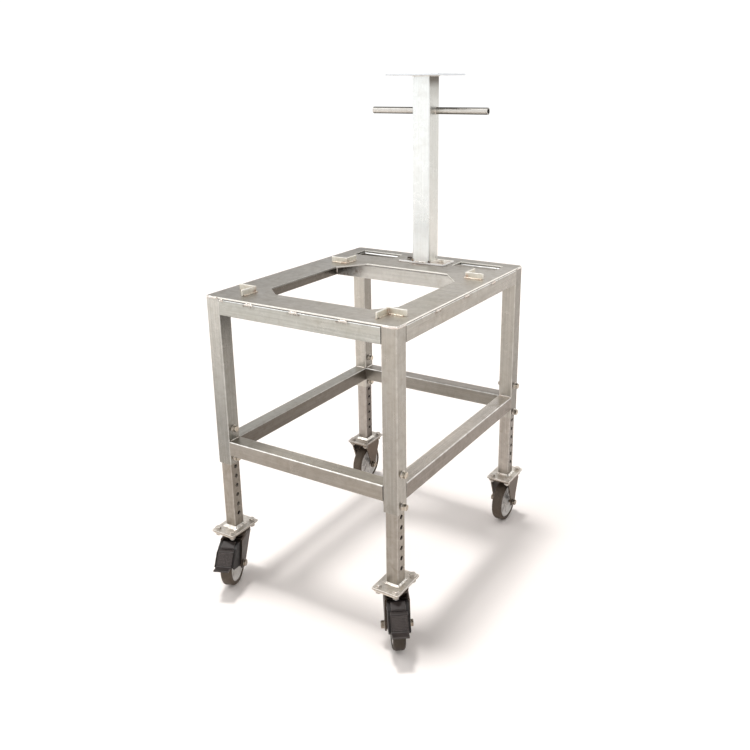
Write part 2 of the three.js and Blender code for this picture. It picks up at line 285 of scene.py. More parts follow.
def bead(pts, r, closed=False, pitch=2.6, amp=0.2, seed=1, sides=10, flat=1.0, step=0.65):
    """weld bead: a rippled rope along a line, ends rounded down"""
    rnd = random.Random(seed)
    P = [Vector(p) for p in pts]
    if closed:
        P.append(P[0].copy())
    cum = [0.0]
    for i in range(1, len(P)):
        cum.append(cum[-1] + (P[i] - P[i - 1]).length)
    L = cum[-1]
    n = max(6, int(L / step))
    C = []
    for k in range(n + (0 if closed else 1)):
        s = L * k / n
        i = max(j for j in range(len(P) - 1) if cum[j] <= s + 1e-9)
        f = (s - cum[i]) / max(1e-9, cum[i + 1] - cum[i])
        C.append((P[i].lerp(P[i + 1], f), s))
    w1, w2 = rnd.random() * 6, rnd.random() * 6
    V, F = [], []
    m = len(C)
    up = None
    for k in range(m):
        c, s = C[k]
        a = C[k - 1][0] if (k or closed) else c
        b = C[(k + 1) % m][0] if (k < m - 1 or closed) else c
        t = (b - a).normalized()
        if up is None:
            up = Vector((0, 0, 1)) if abs(t.z) < 0.9 else Vector((1, 0, 0))
        u = (up - t * up.dot(t)).normalized()
        v = t.cross(u)
        ph = (s / pitch + 0.12 * math.sin(s * 0.37 + w1)) % 1.0
        rr = r * (1 - amp + amp * math.sin(pi * ph) ** 0.6) * (1 + 0.07 * math.sin(s * 0.53 + w2))
        if not closed:
            e = min(s, L - s) / (1.3 * r)
            rr *= math.sqrt(max(0.0, 1 - (1 - min(1, e)) ** 2)) * 0.85 + 0.15
        wob = 0.06 * r * math.sin(s * 0.9 + w1)
        for i in range(sides):
            q = 2 * pi * i / sides
            lag = 0.0
            V.append(c + u * (rr * math.cos(q) * flat + wob) + v * (rr * math.sin(q)) + t * lag)
    for k in range(m if closed else m - 1):
        a, c = k * sides, ((k + 1) % m) * sides
        for i in range(sides):
            j = (i + 1) % sides
            F.append((a + i, a + j, c + j, c + i))
    if not closed:
        F.append(tuple(reversed(range(sides))))
        F.append(tuple(range((m - 1) * sides, m * sides)))
    vol = 0
    for f in F:
        for k in range(1, len(f) - 1):
            vol += Vector(V[f[0]]).dot(Vector(V[f[k]]).cross(Vector(V[f[k + 1]])))
    return (V, F) if vol > 0 else (V, [tuple(reversed(f)) for f in F])


def skirt(cx, cy, h0, h1, hin, z0, z1, seed, n=144):
    """sloping weld fillet round a square tube: wide at z0, narrow at z1, faintly rippled"""
    rnd = random.Random(seed)
    w = [rnd.random() * 6 for _ in range(4)]

    def loop(half, r, z, wob):
        pts = []
        for i in range(n):
            a = 2 * pi * i / n
            c, d = math.cos(a), math.sin(a)
            m = max(abs(c), abs(d))
            x, y = half * c / m, half * d / m
            ex, ey = abs(x) - (half - r), abs(y) - (half - r)
            if ex > 0 and ey > 0:
                k = r / math.hypot(ex, ey)
                x, y = math.copysign(half - r + ex * k, x), math.copysign(half - r + ey * k, y)
            q = 1 + wob * (0.5 * math.sin(9 * a + w[0]) + 0.35 * math.sin(23 * a + w[1]) + 0.3 * math.sin(41 * a + w[2])) / half
            pts.append((cx + x * q, cy + y * q, z + (0.25 * wob * math.sin(31 * a + w[3]) if wob else 0)))
        return pts
    hm = h1 + (h0 - h1) * 0.46
    loops = [loop(hin, 2.6, z0, 0), loop(h0 - 0.2, 5.5, z0, 0.9), loop(h0, 5.5, z0 + 0.7, 0.9), loop(hm, 4.6, z0 + (z1 - z0) * 0.5, 0.5), loop(h1, 3.6, z1, 0.35), loop(hin, 2.6, z1 - 0.1, 0)]
    V = [p for lp in loops for p in lp]
    F = []
    m = len(loops)
    for k in range(m):
        a, c = k * n, ((k + 1) % m) * n
        for i in range(n):
            j = (i + 1) % n
            F.append((a + i, a + j, c + j, c + i))
    vol = 0
    for f in F:
        for k in range(1, 3):
            vol += Vector(V[f[0]]).dot(Vector(V[f[k]]).cross(Vector(V[f[k + 1]])))
    return (V, F) if vol > 0 else (V, [tuple(reversed(f)) for f in F])


def merged(parts):
    V, F = [], []
    for v, f in parts:
        o = len(V)
        V += [Vector(q) for q in v]
        F += [tuple(i + o for i in t) for t in f]
    return V, F


def mesh_of(part, name):
    me = bpy.data.meshes.new(name)
    me.from_pydata([tuple(v) for v in part[0]], [], [tuple(f) for f in part[1]])
    me.validate()
    me.update()
    return me


def csg(part, tools, op):
    """boolean of closed parts, in millimetres"""
    a = bpy.data.objects.new("csg_a", mesh_of(part, "csg_a"))
    scene.collection.objects.link(a)
    extra = []
    for t in tools:
        o = bpy.data.objects.new("csg_b", mesh_of(t, "csg_b"))
        scene.collection.objects.link(o)
        extra.append(o)
        m = a.modifiers.new("b", "BOOLEAN")
        m.operation = op
        m.solver = "EXACT"
        m.object = o
    bpy.context.view_layer.update()
    ev = a.evaluated_get(bpy.context.evaluated_depsgraph_get())
    me = ev.to_mesh()
    V = [v.co.copy() for v in me.vertices]
    F = [tuple(p.vertices) for p in me.polygons]
    ev.to_mesh_clear()
    for o in [a] + extra:
        d = o.data
        bpy.data.objects.remove(o)
        bpy.data.meshes.remove(d)
    return V, F


def piece(name, parts, mat, body, nodes=(), M=None, angle=33, bevel=0.0, wn=True, seg=2):
    part = merged(parts) if isinstance(parts, list) else parts
    if M is not None:
        part = moved(part, M)
    me = mesh_of(moved(part, MM), name)
    me.polygons.foreach_set("use_smooth", [True] * len(me.polygons))
    me.set_sharp_from_angle(angle=math.radians(angle))
    me.materials.append(mat)
    o = bpy.data.objects.new(name, me)
    scene.collection.objects.link(o)
    if bevel:
        m = o.modifiers.new("edge", "BEVEL")
        m.width = bevel / 1000
        m.segments = seg
        m.limit_method = "ANGLE"
        m.angle_limit = math.radians(38)
        m.use_clamp_overlap = True
    if wn:
        m = o.modifiers.new("normals", "WEIGHTED_NORMAL")
        m.keep_sharp = True
        m.weight = 60
    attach(o, body)
    if nodes:
        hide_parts(*nodes)
    return o


# ------------------------------------------------------------------ materials
class Graph:
    def __init__(self, name):
        self.m = bpy.data.materials.new(name)
        self.m.use_nodes = True
        self.t = self.m.node_tree
        self.t.nodes.clear()

    def n(self, kind, ins=None, out=0, **props):
        nd = self.t.nodes.new(kind)
        for k, v in props.items():
            setattr(nd, k, v)
        for k, v in (ins or {}).items():
            s = nd.inputs[k]
            if isinstance(v, bpy.types.NodeSocket):
                self.t.links.new(v, s)
            else:
                s.default_value = v
        return nd.outputs[out] if len(nd.outputs) else nd

    def math(self, op, a, b=0.0, clamp=False):
        return self.n("ShaderNodeMath", {0: a, 1: b}, operation=op, use_clamp=clamp)

    def mix(self, f, a, b):
        nd = self.t.nodes.new("ShaderNodeMix")
        nd.data_type = "RGBA"
        for s, v in ((nd.inputs[0], f), (nd.inputs[6], a), (nd.inputs[7], b)):
            if isinstance(v, bpy.types.NodeSocket):
                self.t.links.new(v, s)
            else:
                s.default_value = v if not isinstance(v, tuple) or len(v) == 4 else (*v, 1)
        return nd.outputs[2]

    def rng(self, v, a, b, c, d):
        return self.n("ShaderNodeMapRange", {0: v, 1: a, 2: b, 3: c, 4: d})

    def noise(self, vec, scale, detail=3.0, rough=0.55, dist=0.0):
        return self.n("ShaderNodeTexNoise", {"Vector": vec, "Scale": scale, "Detail": detail, "Roughness": rough, "Distortion": dist})

    def scaled(self, vec, s):
        return self.n("ShaderNodeMapping", {"Vector": vec, "Scale": s})

    def edge(self, r=0.0011):
        """0 on flats, 1 on outer edges (worn edges, in the steel partly a painted highlight)"""
        bn = self.n("ShaderNodeBevel", {"Radius": r}, samples=4)
        gn = self.n("ShaderNodeNewGeometry", out=1)
        dot = self.n("ShaderNodeVectorMath", {0: bn, 1: gn}, out=1, operation="DOT_PRODUCT")
        return self.rng(dot, 0.995, 0.90, 0.0, 1.0)

    def out(self, shader):
        self.n("ShaderNodeOutputMaterial", {"Surface": shader})
        return self.m


def lin(r, g, b):
    f = lambda c: ((c / 255 + 0.055) / 1.055) ** 2.4 if c > 10 else c / 255 / 12.92
    return (f(r), f(g), f(b), 1.0)


def steel(name, tone, rough, grain=(900, 900, 14), var=0.09, bump=0.10, aniso=0.0, tangent=None, tint=0.35, edge=0.55,
          mottle=1.0, heat_and_shade_spots=(), heat_and_shade_col=(150, 112, 88), shade_under_head=None, top_edge_highlight=0.85, cut_edge_and_highlight=0.0, face_light_shade=(), light_shade_ramps=(), gap_shade=None, graze=None):
    """brushed stainless: fine lines along the piece, blotches and smudges, heat colour near welds, brighter worn
    edges; painted light and shade too: faces darkened or lightened by direction and along their length, painted shade
    spots, under the head plate and in the gap under a sheet, painted highlights on cut faces and top edges
    """
    g = Graph(name)
    co = g.n("ShaderNodeTexCoord", out=3)
    streak = g.noise(g.scaled(co, grain), 1.0, 4.0, 0.62)
    broad = g.noise(g.scaled(co, tuple(x / 3.4 for x in grain)), 1.0, 2.0, 0.5)
    cloud = g.noise(co, 7.0, 4.0, 0.6, 0.4)
    smear = g.noise(g.scaled(co, tuple(x / 60 + 4 for x in grain)), 1.0, 3.0, 0.6, 0.6)
    speck = g.noise(co, 260.0, 2.0, 0.6)
    blotch = g.noise(co, 58.0, 5.0, 0.66, 0.6)
    dark = tuple(c * (1 - 1.6 * var) for c in tone[:3])
    light = tuple(min(1, c * (1 + 1.2 * var)) for c in tone[:3])
    warm = (tone[0] * 1.02, tone[1] * 0.95, tone[2] * 0.86)
    f = g.math("ADD", g.math("MULTIPLY", streak, 0.38), g.math("ADD", g.math("MULTIPLY", broad, 0.42), g.math("MULTIPLY", cloud, 0.20)))
    col = g.mix(g.rng(f, 0.36, 0.64, 0.0, 1.0), dark, light)
    col = g.mix(g.math("MULTIPLY", g.rng(smear, 0.48, 0.75, 0.0, 1.0), tint), col, warm)
    col = g.mix(g.math("MULTIPLY", g.rng(blotch, 0.50, 0.70, 0.0, 1.0), 0.75 * mottle), col, tuple(c * k for c, k in zip(tone[:3], (0.80, 0.77, 0.72))))
    col = g.mix(g.math("MULTIPLY", g.rng(blotch, 0.46, 0.28, 0.0, 1.0), 0.6 * mottle), col, tuple(min(1, c * 1.2) for c in tone[:3]))
    # heat colour round weld spots; the same spots also paint shade, as at the cross rail's left end
    if heat_and_shade_spots:
        near = None
        for x, y, z, r in heat_and_shade_spots:
            d = g.n("ShaderNodeVectorMath", {0: co, 1: ((x - OX) / 1000, (y - OY) / 1000, z / 1000)}, out=1, operation="DISTANCE")
            k = g.rng(d, 0.35 * r / 1000, r / 1000, 1.0, 0.0)
            near = k if near is None else g.math("MAXIMUM", near, k)
        ragged = g.rng(g.noise(co, 130.0, 5.0, 0.7, 0.8), 0.36, 0.60, 0.0, 1.0)
        hue = g.mix(g.rng(g.noise(co, 90.0, 3.0, 0.6), 0.4, 0.6, 0.0, 1.0), lin(*heat_and_shade_col), tuple(c * 0.62 for c in tone[:3]))
        col = g.mix(g.math("MULTIPLY", g.math("MULTIPLY", near, ragged), 0.85), col, hue)
    # painted shade: +X faces darkened just below the overhanging head plate
    if shade_under_head:
        z0, z1, z2 = shade_under_head
        zz = g.n("ShaderNodeSeparateXYZ", {0: co}, out=2)
        nx = g.n("ShaderNodeSeparateXYZ", {0: g.n("ShaderNodeNewGeometry", out=1)}, out=0)
        fade = g.math("ADD", g.math("MULTIPLY", g.rng(zz, z0, z1, 0.0, 1.0), 0.35), g.math("MULTIPLY", g.rng(zz, z1, z2, 0.0, 1.0), 0.65))
        k = g.math("MULTIPLY", fade, g.rng(nx, 0.4, 0.8, 0.0, 1.0))
        col = g.mix(g.math("MULTIPLY", k, 0.95), col, tuple(c * q for c, q in zip(tone[:3], (0.21, 0.18, 0.155))))
    nrm = g.n("ShaderNodeNewGeometry", out=1)
    axes = [g.math("ABSOLUTE", g.n("ShaderNodeSeparateXYZ", {0: nrm}, out=i)) for i in range(3)]
    # painted light and shade: faces turned along one axis are darkened or lightened by the given factors
    for axis, lo_n, hi_n, k in face_light_shade:
        k3 = k if isinstance(k, tuple) else (k, k * 0.985, k * 0.965) if k < 1 else (k, k, k)
        col = g.mix(g.rng(axes[axis], lo_n, hi_n, 0.0, 1.0), col, g.n("ShaderNodeVectorMath", {0: col, 1: k3}, operation="MULTIPLY"))
    bright = (min(1, tone[0] * 1.5 + 0.42), min(1, tone[1] * 1.5 + 0.42), min(1, tone[2] * 1.5 + 0.43))
    # side faces of the sheets lightened: a ground cut edge, and a painted highlight
    if cut_edge_and_highlight:
        col = g.mix(g.math("MULTIPLY", g.rng(axes[2], 0.8, 0.4, 0.0, 1.0), cut_edge_and_highlight), col, bright)
    if top_edge_highlight:
        # painted highlight: upward-facing rounded corners and edges of the flat-sided pieces are lightened in patches
        m = g.math("MAXIMUM", g.math("MAXIMUM", axes[0], axes[1]), axes[2])
        corner_glint = g.math("MULTIPLY", g.rng(m, 0.985, 0.90, 0.0, 1.0), g.rng(blotch, 0.35, 0.65, top_edge_highlight, top_edge_highlight * 0.55))
        corner_glint = g.math("MULTIPLY", corner_glint, g.rng(g.n("ShaderNodeSeparateXYZ", {0: nrm}, out=2), -0.12, 0.35, 0.0, 1.0))
        col = g.mix(corner_glint, col, bright)
    # painted light and shade: slow changes of tone along a face, and painted shade in the gap under a sheet
    for axis, p0, p1, k0, k1, face in light_shade_ramps:
        p0, p1 = [(p - (OX, OY, 0)[axis]) / 1000 for p in (p0, p1)]
        along = g.rng(g.n("ShaderNodeSeparateXYZ", {0: co}, out=axis), p0, p1, k0, k1)
        col = g.mix(g.rng(axes[face], 0.7, 0.9, 0.0, 1.0), col, g.n("ShaderNodeVectorMath", {0: col, 1: along}, operation="MULTIPLY"))
    # painted shade: a dark line along the lower part of the sheet's edge, in the gap above the rail
    if gap_shade:
        zz = g.n("ShaderNodeSeparateXYZ", {0: co}, out=2)
        col = g.mix(g.rng(zz, gap_shade[0] / 1000, gap_shade[1] / 1000, 0.88, 0.0), col, tuple(c * q for c, q in zip(tone[:3], (0.20, 0.17, 0.15))))
    # outer edges lightened: wear, and in part a painted highlight
    e = g.edge()
    col = g.mix(g.math("MULTIPLY", e, edge), col, tuple(min(1, c * 1.45 + 0.06) for c in tone[:3]))
    ro = g.math("ADD", g.rng(streak, 0.3, 0.7, rough - 0.05, rough + 0.06), g.rng(cloud, 0.35, 0.7, -0.04, 0.07))
    ro = g.math("ADD", ro, g.rng(blotch, 0.35, 0.7, -0.03, 0.07))
    ro = g.math("SUBTRACT", ro, g.math("MULTIPLY", e, 0.05), True)
    h = g.math("ADD", g.math("MULTIPLY", streak, 0.8), g.math("ADD", g.math("MULTIPLY", speck, 0.25), g.math("MULTIPLY", blotch, 0.5)))
    bp = g.n("ShaderNodeBump", {"Strength": bump, "Distance": 0.0002, "Height": h})
    ins = {"Base Color": col, "Metallic": 1.0, "Roughness": ro, "Normal": bp}
    if graze:
        ins["Specular Tint"] = graze
    if aniso:
        ins["Anisotropic"] = aniso
        ins["Tangent"] = g.n("ShaderNodeCombineXYZ", {0: tangent[0], 1: tangent[1], 2: tangent[2]})
    return g.out(g.n("ShaderNodeBsdfPrincipled", ins))


def cast(name, tone, rough, metal, scale=300, var=0.12, bump=0.15, wear=None, wear_amt=0.5, dust=None, spec=0.5):
    """moulded or plated surface: fine grain, blotches, worn edges, dust"""
    g = Graph(name)
    co = g.n("ShaderNodeTexCoord", out=3)
    fine = g.noise(co, scale, 3.0, 0.6)
    blot = g.noise(co, 28.0, 4.0, 0.6, 0.5)
    dark = tuple(c * (1 - 1.5 * var) for c in tone[:3])
    light = tuple(min(1, c * (1 + 1.5 * var)) for c in tone[:3])
    f = g.math("ADD", g.math("MULTIPLY", fine, 0.4), g.math("MULTIPLY", blot, 0.6))
    col = g.mix(g.rng(f, 0.35, 0.65, 0.0, 1.0), dark, light)
    if dust:
        d = g.math("MULTIPLY", g.rng(g.noise(co, 55.0, 5.0, 0.65, 0.8), 0.5, 0.72, 0.0, 1.0), dust[1])
        col = g.mix(d, col, dust[0])
    e = g.edge(0.0013)
    if wear:
        col = g.mix(g.math("MULTIPLY", e, wear_amt), col, wear)
    ro = g.math("ADD", g.rng(fine, 0.3, 0.7, rough - 0.05, rough + 0.05), g.rng(blot, 0.35, 0.7, -0.05, 0.06), True)
    bp = g.n("ShaderNodeBump", {"Strength": bump, "Distance": 0.0003, "Height": g.math("ADD", fine, g.math("MULTIPLY", blot, 0.4))})
    return g.out(g.n("ShaderNodeBsdfPrincipled", {"Base Color": col, "Metallic": metal, "Roughness": ro, "Normal": bp, "Specular IOR Level": spec}))


def weld(name, burnt=0.45, lo=(212, 202, 186), hi=(248, 243, 232)):
    """bright bead with straw and brown heat colours"""
    g = Graph(name)
    co = g.n("ShaderNodeTexCoord", out=3)
    a = g.noise(co, 150.0, 3.0, 0.6, 0.3)
    b = g.noise(co, 38.0, 3.0, 0.6)
    c = g.noise(co, 95.0, 4.0, 0.65, 0.5)
    col = g.mix(g.rng(a, 0.35, 0.65, 0.0, 1.0), lin(*lo), lin(*hi))
    col = g.mix(g.math("MULTIPLY", g.rng(b, 0.5, 0.7, 0.0, 1.0), burnt), col, lin(182, 146, 112))
    col = g.mix(g.math("MULTIPLY", g.rng(c, 0.52, 0.70, 0.0, 1.0), burnt * 1.2), col, lin(128, 84, 66))
    bp = g.n("ShaderNodeBump", {"Strength": 0.35, "Distance": 0.0003, "Height": a})
    return g.out(g.n("ShaderNodeBsdfPrincipled", {"Base Color": col, "Metallic": 1.0, "Roughness": g.rng(a, 0.3, 0.7, 0.24, 0.42), "Normal": bp}))


def dim(c, k):
    return tuple(x * k for x in c[:3]) + (1.0,)


# angle brackets on the plate: outer corner and the way their arms run
BRACKETS = {"front_left": (83, 80, -1, -1), "front_right": (440, 77, 1, -1), "rear_right": (439, 440, 1, 1), "rear_left": (92, 432, -1, 1)}
B_ARM, B_T, B_H = 48.0, 4.8, 14.0
HEAT = []
for vx, vy, sx, sy in BRACKETS.values():
    HEAT += [(vx + 12 * sx, vy, PLATE_TOP, 17), (vx + 40 * sx, vy, PLATE_TOP, 13), (vx, vy + 14 * sy, PLATE_TOP, 16), (vx, vy + 40 * sy, PLATE_TOP, 13)]
HEAT += [(267.5, 522, PLATE_TOP, 30), (205, 530, PLATE_TOP, 16), (332, 530, PLATE_TOP, 18), (38, 470, PLATE_TOP, 14), (470, 470, PLATE_TOP, 14)]

TUBE_TONE = lin(188, 184, 176)
# heat marks along the stitch welds under the plate's edge
STITCH_X, STITCH_Y = ((46, 6), (126, 12), (250, 12), (379, 12)), (175, 312, 458)
SEAM_Z = PLATE_TOP - PLATE_T - 4.6
SEAM_X = [(x + d, 0, SEAM_Z, 6.5) for x, h in STITCH_X[1:] for d in (-14, -7, 0, 7, 14)]
SEAM_Y = [(W, y + d, SEAM_Z, 6.5) for y in STITCH_Y for d in (-14, -7, 0, 7, 14)]
XG, YG, ZG = (14, 900, 900), (900, 14, 900), (900, 900, 14)
AX, AY, AZ = dict(aniso=0.45, tangent=(1, 0, 0)), dict(aniso=0.45, tangent=(0, 1, 0)), dict(aniso=0.45, tangent=(0, 0, 1))
# copies of the tube steel differ in tone, face factors and ramps to paint light and shade: lighter and darker rails,
# legs, inner tubes and feet
MAT = {
    "x": steel("tube_steel_x", dim(lin(185, 186, 180), 0.95), 0.30, XG, var=0.12, mottle=0.7, heat_and_shade_spots=SEAM_X, heat_and_shade_col=(104, 86, 74), **AX),
    "y": steel("tube_steel_y", dim(TUBE_TONE, 0.745), 0.30, YG, var=0.12, mottle=0.7, heat_and_shade_spots=SEAM_Y, heat_and_shade_col=(104, 86, 74), **AY),
    "y_left": steel("tube_steel_y_left", dim(TUBE_TONE, 0.79), 0.30, YG, mottle=0.7, face_light_shade=[(0, 0.75, 0.95, (0.34, 0.32, 0.305))], **AY),
    "x_light": steel("tube_steel_x_light", dim(lin(186, 185, 181), 1.16), 0.32, XG, tint=0.12, mottle=0.7, **AX),
    # painted shade: dark spots and a darkening ramp at the cross rail's left end
    "x_cross": steel("tube_steel_x_cross", dim(lin(187, 186, 181), 1.16), 0.32, XG, tint=0.12, mottle=0.7, heat_and_shade_spots=[(70, 463, 712, 52), (92, 463, 722, 40)], heat_and_shade_col=(112, 92, 78),
                     light_shade_ramps=[(0, 84, 140, 0.36, 1.0, 1)], **AX),
    "x_low": steel("tube_steel_x_low", dim(TUBE_TONE, 0.78), 0.32, XG, var=0.11, mottle=0.7, face_light_shade=[(1, 0.75, 0.95, (0.795, 0.775, 0.76)), (2, 0.75, 0.95, (1.50, 1.44, 1.36))], light_shade_ramps=[(0, 110, 185, 0.58, 1.0, 2)], **AX),
    "x_back": steel("tube_steel_x_back", dim(TUBE_TONE, 0.60), 0.32, XG, var=0.11, mottle=0.7, face_light_shade=[(1, 0.75, 0.95, 0.90), (2, 0.75, 0.95, (1.14, 1.07, 1.05))], **AX),
    "y_low": steel("tube_steel_y_low", dim(TUBE_TONE, 0.72), 0.32, YG, var=0.13, mottle=0.8, face_light_shade=[(0, 0.75, 0.95, (0.665, 0.62, 0.60)), (2, 0.75, 0.95, (1.76, 1.68, 1.66))], top_edge_highlight=0.6, **AY),
    "y_low_left": steel("tube_steel_y_low_left", dim(TUBE_TONE, 0.72), 0.32, YG, var=0.12, mottle=0.8, face_light_shade=[(0, 0.75, 0.95, (0.44, 0.415, 0.395)), (2, 0.75, 0.95, 1.04)], top_edge_highlight=0.25, **AY),
    "z_front_left": steel("tube_steel_z_fl", dim(lin(187, 186, 180), 0.79), 0.30, ZG, var=0.12, mottle=0.7, face_light_shade=[(0, 0.75, 0.95, 0.79)],
                          light_shade_ramps=[(2, 430, 690, 0.74, 1.30, 1), (2, 600, 690, 1.0, 0.40, 0)], **AZ),
    "z_front_right": steel("tube_steel_z_fr", dim(TUBE_TONE, 0.72), 0.30, ZG, var=0.12, mottle=0.7, light_shade_ramps=[(2, 320, 700, 0.86, 1.14, 1)], **AZ),
    "z_rear_right": steel("tube_steel_z_rr", dim(TUBE_TONE, 0.75), 0.30, ZG, var=0.12, mottle=0.7, face_light_shade=[(0, 0.75, 0.95, 0.70), (1, 0.75, 0.95, 1.13)], light_shade_ramps=[(2, 320, 520, 0.72, 1.0, 0)], **AZ),
    "z_rear_left": steel("tube_steel_z_rl", dim(TUBE_TONE, 0.75), 0.30, ZG, var=0.12, mottle=0.7, face_light_shade=[(0, 0.75, 0.95, 0.69), (1, 0.75, 0.95, 1.26)], **AZ),
    "inner_front_left": steel("inner_steel_fl", dim(lin(183, 176, 166), 0.68), 0.33, (900, 900, 18), aniso=0.4, tangent=(0, 0, 1), var=0.11, face_light_shade=[(0, 0.75, 0.95, 0.77)]),
    "inner_front_right": steel("inner_steel_fr", dim(lin(183, 176, 166), 0.68), 0.33, (900, 900, 18), aniso=0.4, tangent=(0, 0, 1), var=0.11),
    "inner_rear_right": steel("inner_steel_rr", dim(lin(188, 181, 173), 0.82), 0.33, (900, 900, 18), aniso=0.4, tangent=(0, 0, 1), var=0.11, face_light_shade=[(0, 0.75, 0.95, 0.53)]),
    "inner_rear_left": steel("inner_steel_rl", dim(lin(188, 181, 174), 0.76), 0.33, (900, 900, 18), aniso=0.4, tangent=(0, 0, 1), var=0.11, face_light_shade=[(0, 0.75, 0.95, (0.335, 0.315, 0.30))]),
    # painted light and shade on the plate: lighter towards the right, darker at the rear, dark slot ends, shade in the
    # gap under its edge
    "plate": steel("plate_steel", dim(lin(184, 178, 169), 0.86), 0.38, (12, 700, 700), var=0.10, tint=0.3, mottle=0.8, heat_and_shade_spots=HEAT, cut_edge_and_highlight=0.75,
                   light_shade_ramps=[(0, 20, 440, 0.76, 1.20, 2), (1, 560, 605, 1.0, 0.80, 2), (0, 180, 300, 0.30, 1.0, 0)], gap_shade=(PLATE_TOP - 4.0, PLATE_TOP - 2.9)),
    "bracket": steel("bracket_steel", lin(240, 236, 225), 0.44, (500, 500, 30), var=0.06, mottle=0.9, heat_and_shade_col=(196, 150, 118),
                     heat_and_shade_spots=[(vx + 4 * sx, vy + 4 * sy, PLATE_TOP, 16) for vx, vy, sx, sy in BRACKETS.values()]),
    "base": steel("base_steel", lin(236, 231, 222), 0.42, (12, 700, 700), var=0.08, tint=0.3, cut_edge_and_highlight=0.9,
                  heat_and_shade_spots=[(300, 522, 742, 26), (326, 530, 742, 18), (335, 560, 742, 16), (310, 545, 742, 14)], heat_and_shade_col=(150, 108, 90),
                  light_shade_ramps=[(0, 236, 264, 0.48, 1.20, 2)]),
    # painted light and shade on the post: darker right face, shade under the head plate, lighter front near the base
    "post": steel("post_steel", dim(lin(233, 236, 235), 0.94), 0.30, (900, 900, 12), var=0.05, tint=0.12, aniso=0.4, tangent=(0, 0, 1), mottle=0.35, shade_under_head=(1.148, 1.182, 1.200),
                  face_light_shade=[(0, 0.7, 0.9, (0.85, 0.82, 0.78))], light_shade_ramps=[(2, 745, 830, 1.30, 1.0, 1)], heat_and_shade_spots=[(243, 522, 744, 8), (292, 522, 744, 9)], heat_and_shade_col=(60, 52, 46), top_edge_highlight=0.5),
    "head": steel("head_steel", lin(214, 217, 220), 0.34, (12, 700, 700), var=0.06, tint=0.05, mottle=0.4, cut_edge_and_highlight=0.0, top_edge_highlight=0.3),
    # painted reflection: dark bands along the top and bottom of the cross bar
    "bar": steel("bar_steel", dim(lin(222, 219, 213), 0.80), 0.28, (12, 900, 900), var=0.08, tint=0.3, mottle=0.7, top_edge_highlight=0, face_light_shade=[(2, 0.46, 0.80, 0.27)], graze=(0.10, 0.09, 0.08, 1.0)),
    # painted shade: darker copies of the foot steel for the rear-left and front-left feet
    "foot_shaded": steel("foot_steel_shaded", dim(lin(230, 222, 213), 0.66), 0.42, (300, 300, 60), var=0.17, tint=0.35, mottle=1.3, bump=0.3, face_light_shade=[(2, 0.6, 0.3, 0.60)], top_edge_highlight=0.35),
    "foot_half_shaded": steel("foot_steel_half_shaded", dim(lin(230, 223, 214), 0.88), 0.40, (300, 300, 60), var=0.15, tint=0.35, mottle=1.25, bump=0.3, face_light_shade=[(2, 0.6, 0.3, 0.60)], top_edge_highlight=0.4),
    "foot": steel("foot_steel", dim(lin(230, 223, 214), 1.02), 0.40, (300, 300, 60), var=0.15, tint=0.35, mottle=1.25, bump=0.3, face_light_shade=[(2, 0.6, 0.3, 0.60)], top_edge_highlight=0.4),
    "race": cast("race_steel", lin(210, 202, 190), 0.36, 1.0, 240, 0.14, 0.12, lin(244, 238, 226), 0.6, (lin(120, 104, 90), 0.4)),
    "zinc": cast("zinc_steel", lin(90, 78, 68), 0.40, 1.0, 240, 0.20, 0.14, lin(206, 198, 184), 0.65, (lin(84, 70, 58), 0.5)),
    "fork": cast("fork_steel", lin(66, 56, 49), 0.40, 1.0, 240, 0.20, 0.14, lin(176, 166, 152), 0.6, (lin(46, 38, 33), 0.5)),
    "bolt": cast("bolt_steel", lin(142, 130, 116), 0.30, 1.0, 500, 0.16, 0.12, lin(230, 224, 212), 0.7, (lin(64, 54, 46), 0.5)),
    "bolt_leg": cast("bolt_steel_leg", lin(188, 178, 163), 0.30, 1.0, 420, 0.18, 0.12, lin(242, 237, 226), 0.75, (lin(84, 70, 60), 0.65)),
    "bolt_dark": cast("bolt_steel_dark", lin(86, 74, 67), 0.30, 1.0, 500, 0.20, 0.12, lin(236, 231, 222), 0.75, (lin(42, 35, 31), 0.6)),
    "bolt_light": cast("bolt_steel_light", lin(238, 232, 221), 0.36, 1.0, 500, 0.10, 0.12, lin(248, 244, 236), 0.5, (lin(176, 140, 122), 0.4)),
    "nylon_dark": cast("black_nylon_dark", lin(25, 21, 20), 0.50, 0.0, 420, 0.2, 0.22, lin(96, 88, 84), 0.5, (lin(48, 42, 39), 0.3), spec=0.28),
    "nylon": cast("black_nylon", lin(44, 37, 35), 0.47, 0.0, 420, 0.14, 0.22, lin(146, 137, 133), 0.6, (lin(76, 68, 64), 0.3), spec=0.38),
    # painted shade: a darker copy of the tread for the front-right wheel, under its pedal
    "tread_shaded": cast("tread_rubber_shaded", lin(50, 42, 33), 0.60, 0.0, 300, 0.16, 0.25, lin(90, 80, 68), 0.4, (lin(78, 68, 56), 0.4), spec=0.28),
    "tread": cast("tread_rubber", lin(76, 65, 54), 0.60, 0.0, 300, 0.16, 0.25, lin(114, 104, 92), 0.4, (lin(102, 92, 80), 0.4), spec=0.35),
    "hub": cast("hub_grey", lin(196, 192, 188), 0.42, 0.0, 350, 0.09, 0.12, lin(232, 230, 228), 0.5, (lin(140, 128, 118), 0.4)),
    "weld": weld("weld_metal", 0.34, (208, 200, 192), (246, 242, 236)),
    "weld_dark": weld("weld_metal_burnt", 0.60, (196, 184, 168), (236, 228, 214)),
    "weld_near_black": weld("weld_metal_near_black", 0.9, (60, 50, 45), (96, 84, 76)),
    "weld_clean": weld("weld_metal_clean", 0.16, (196, 190, 181), (240, 236, 229)),
}

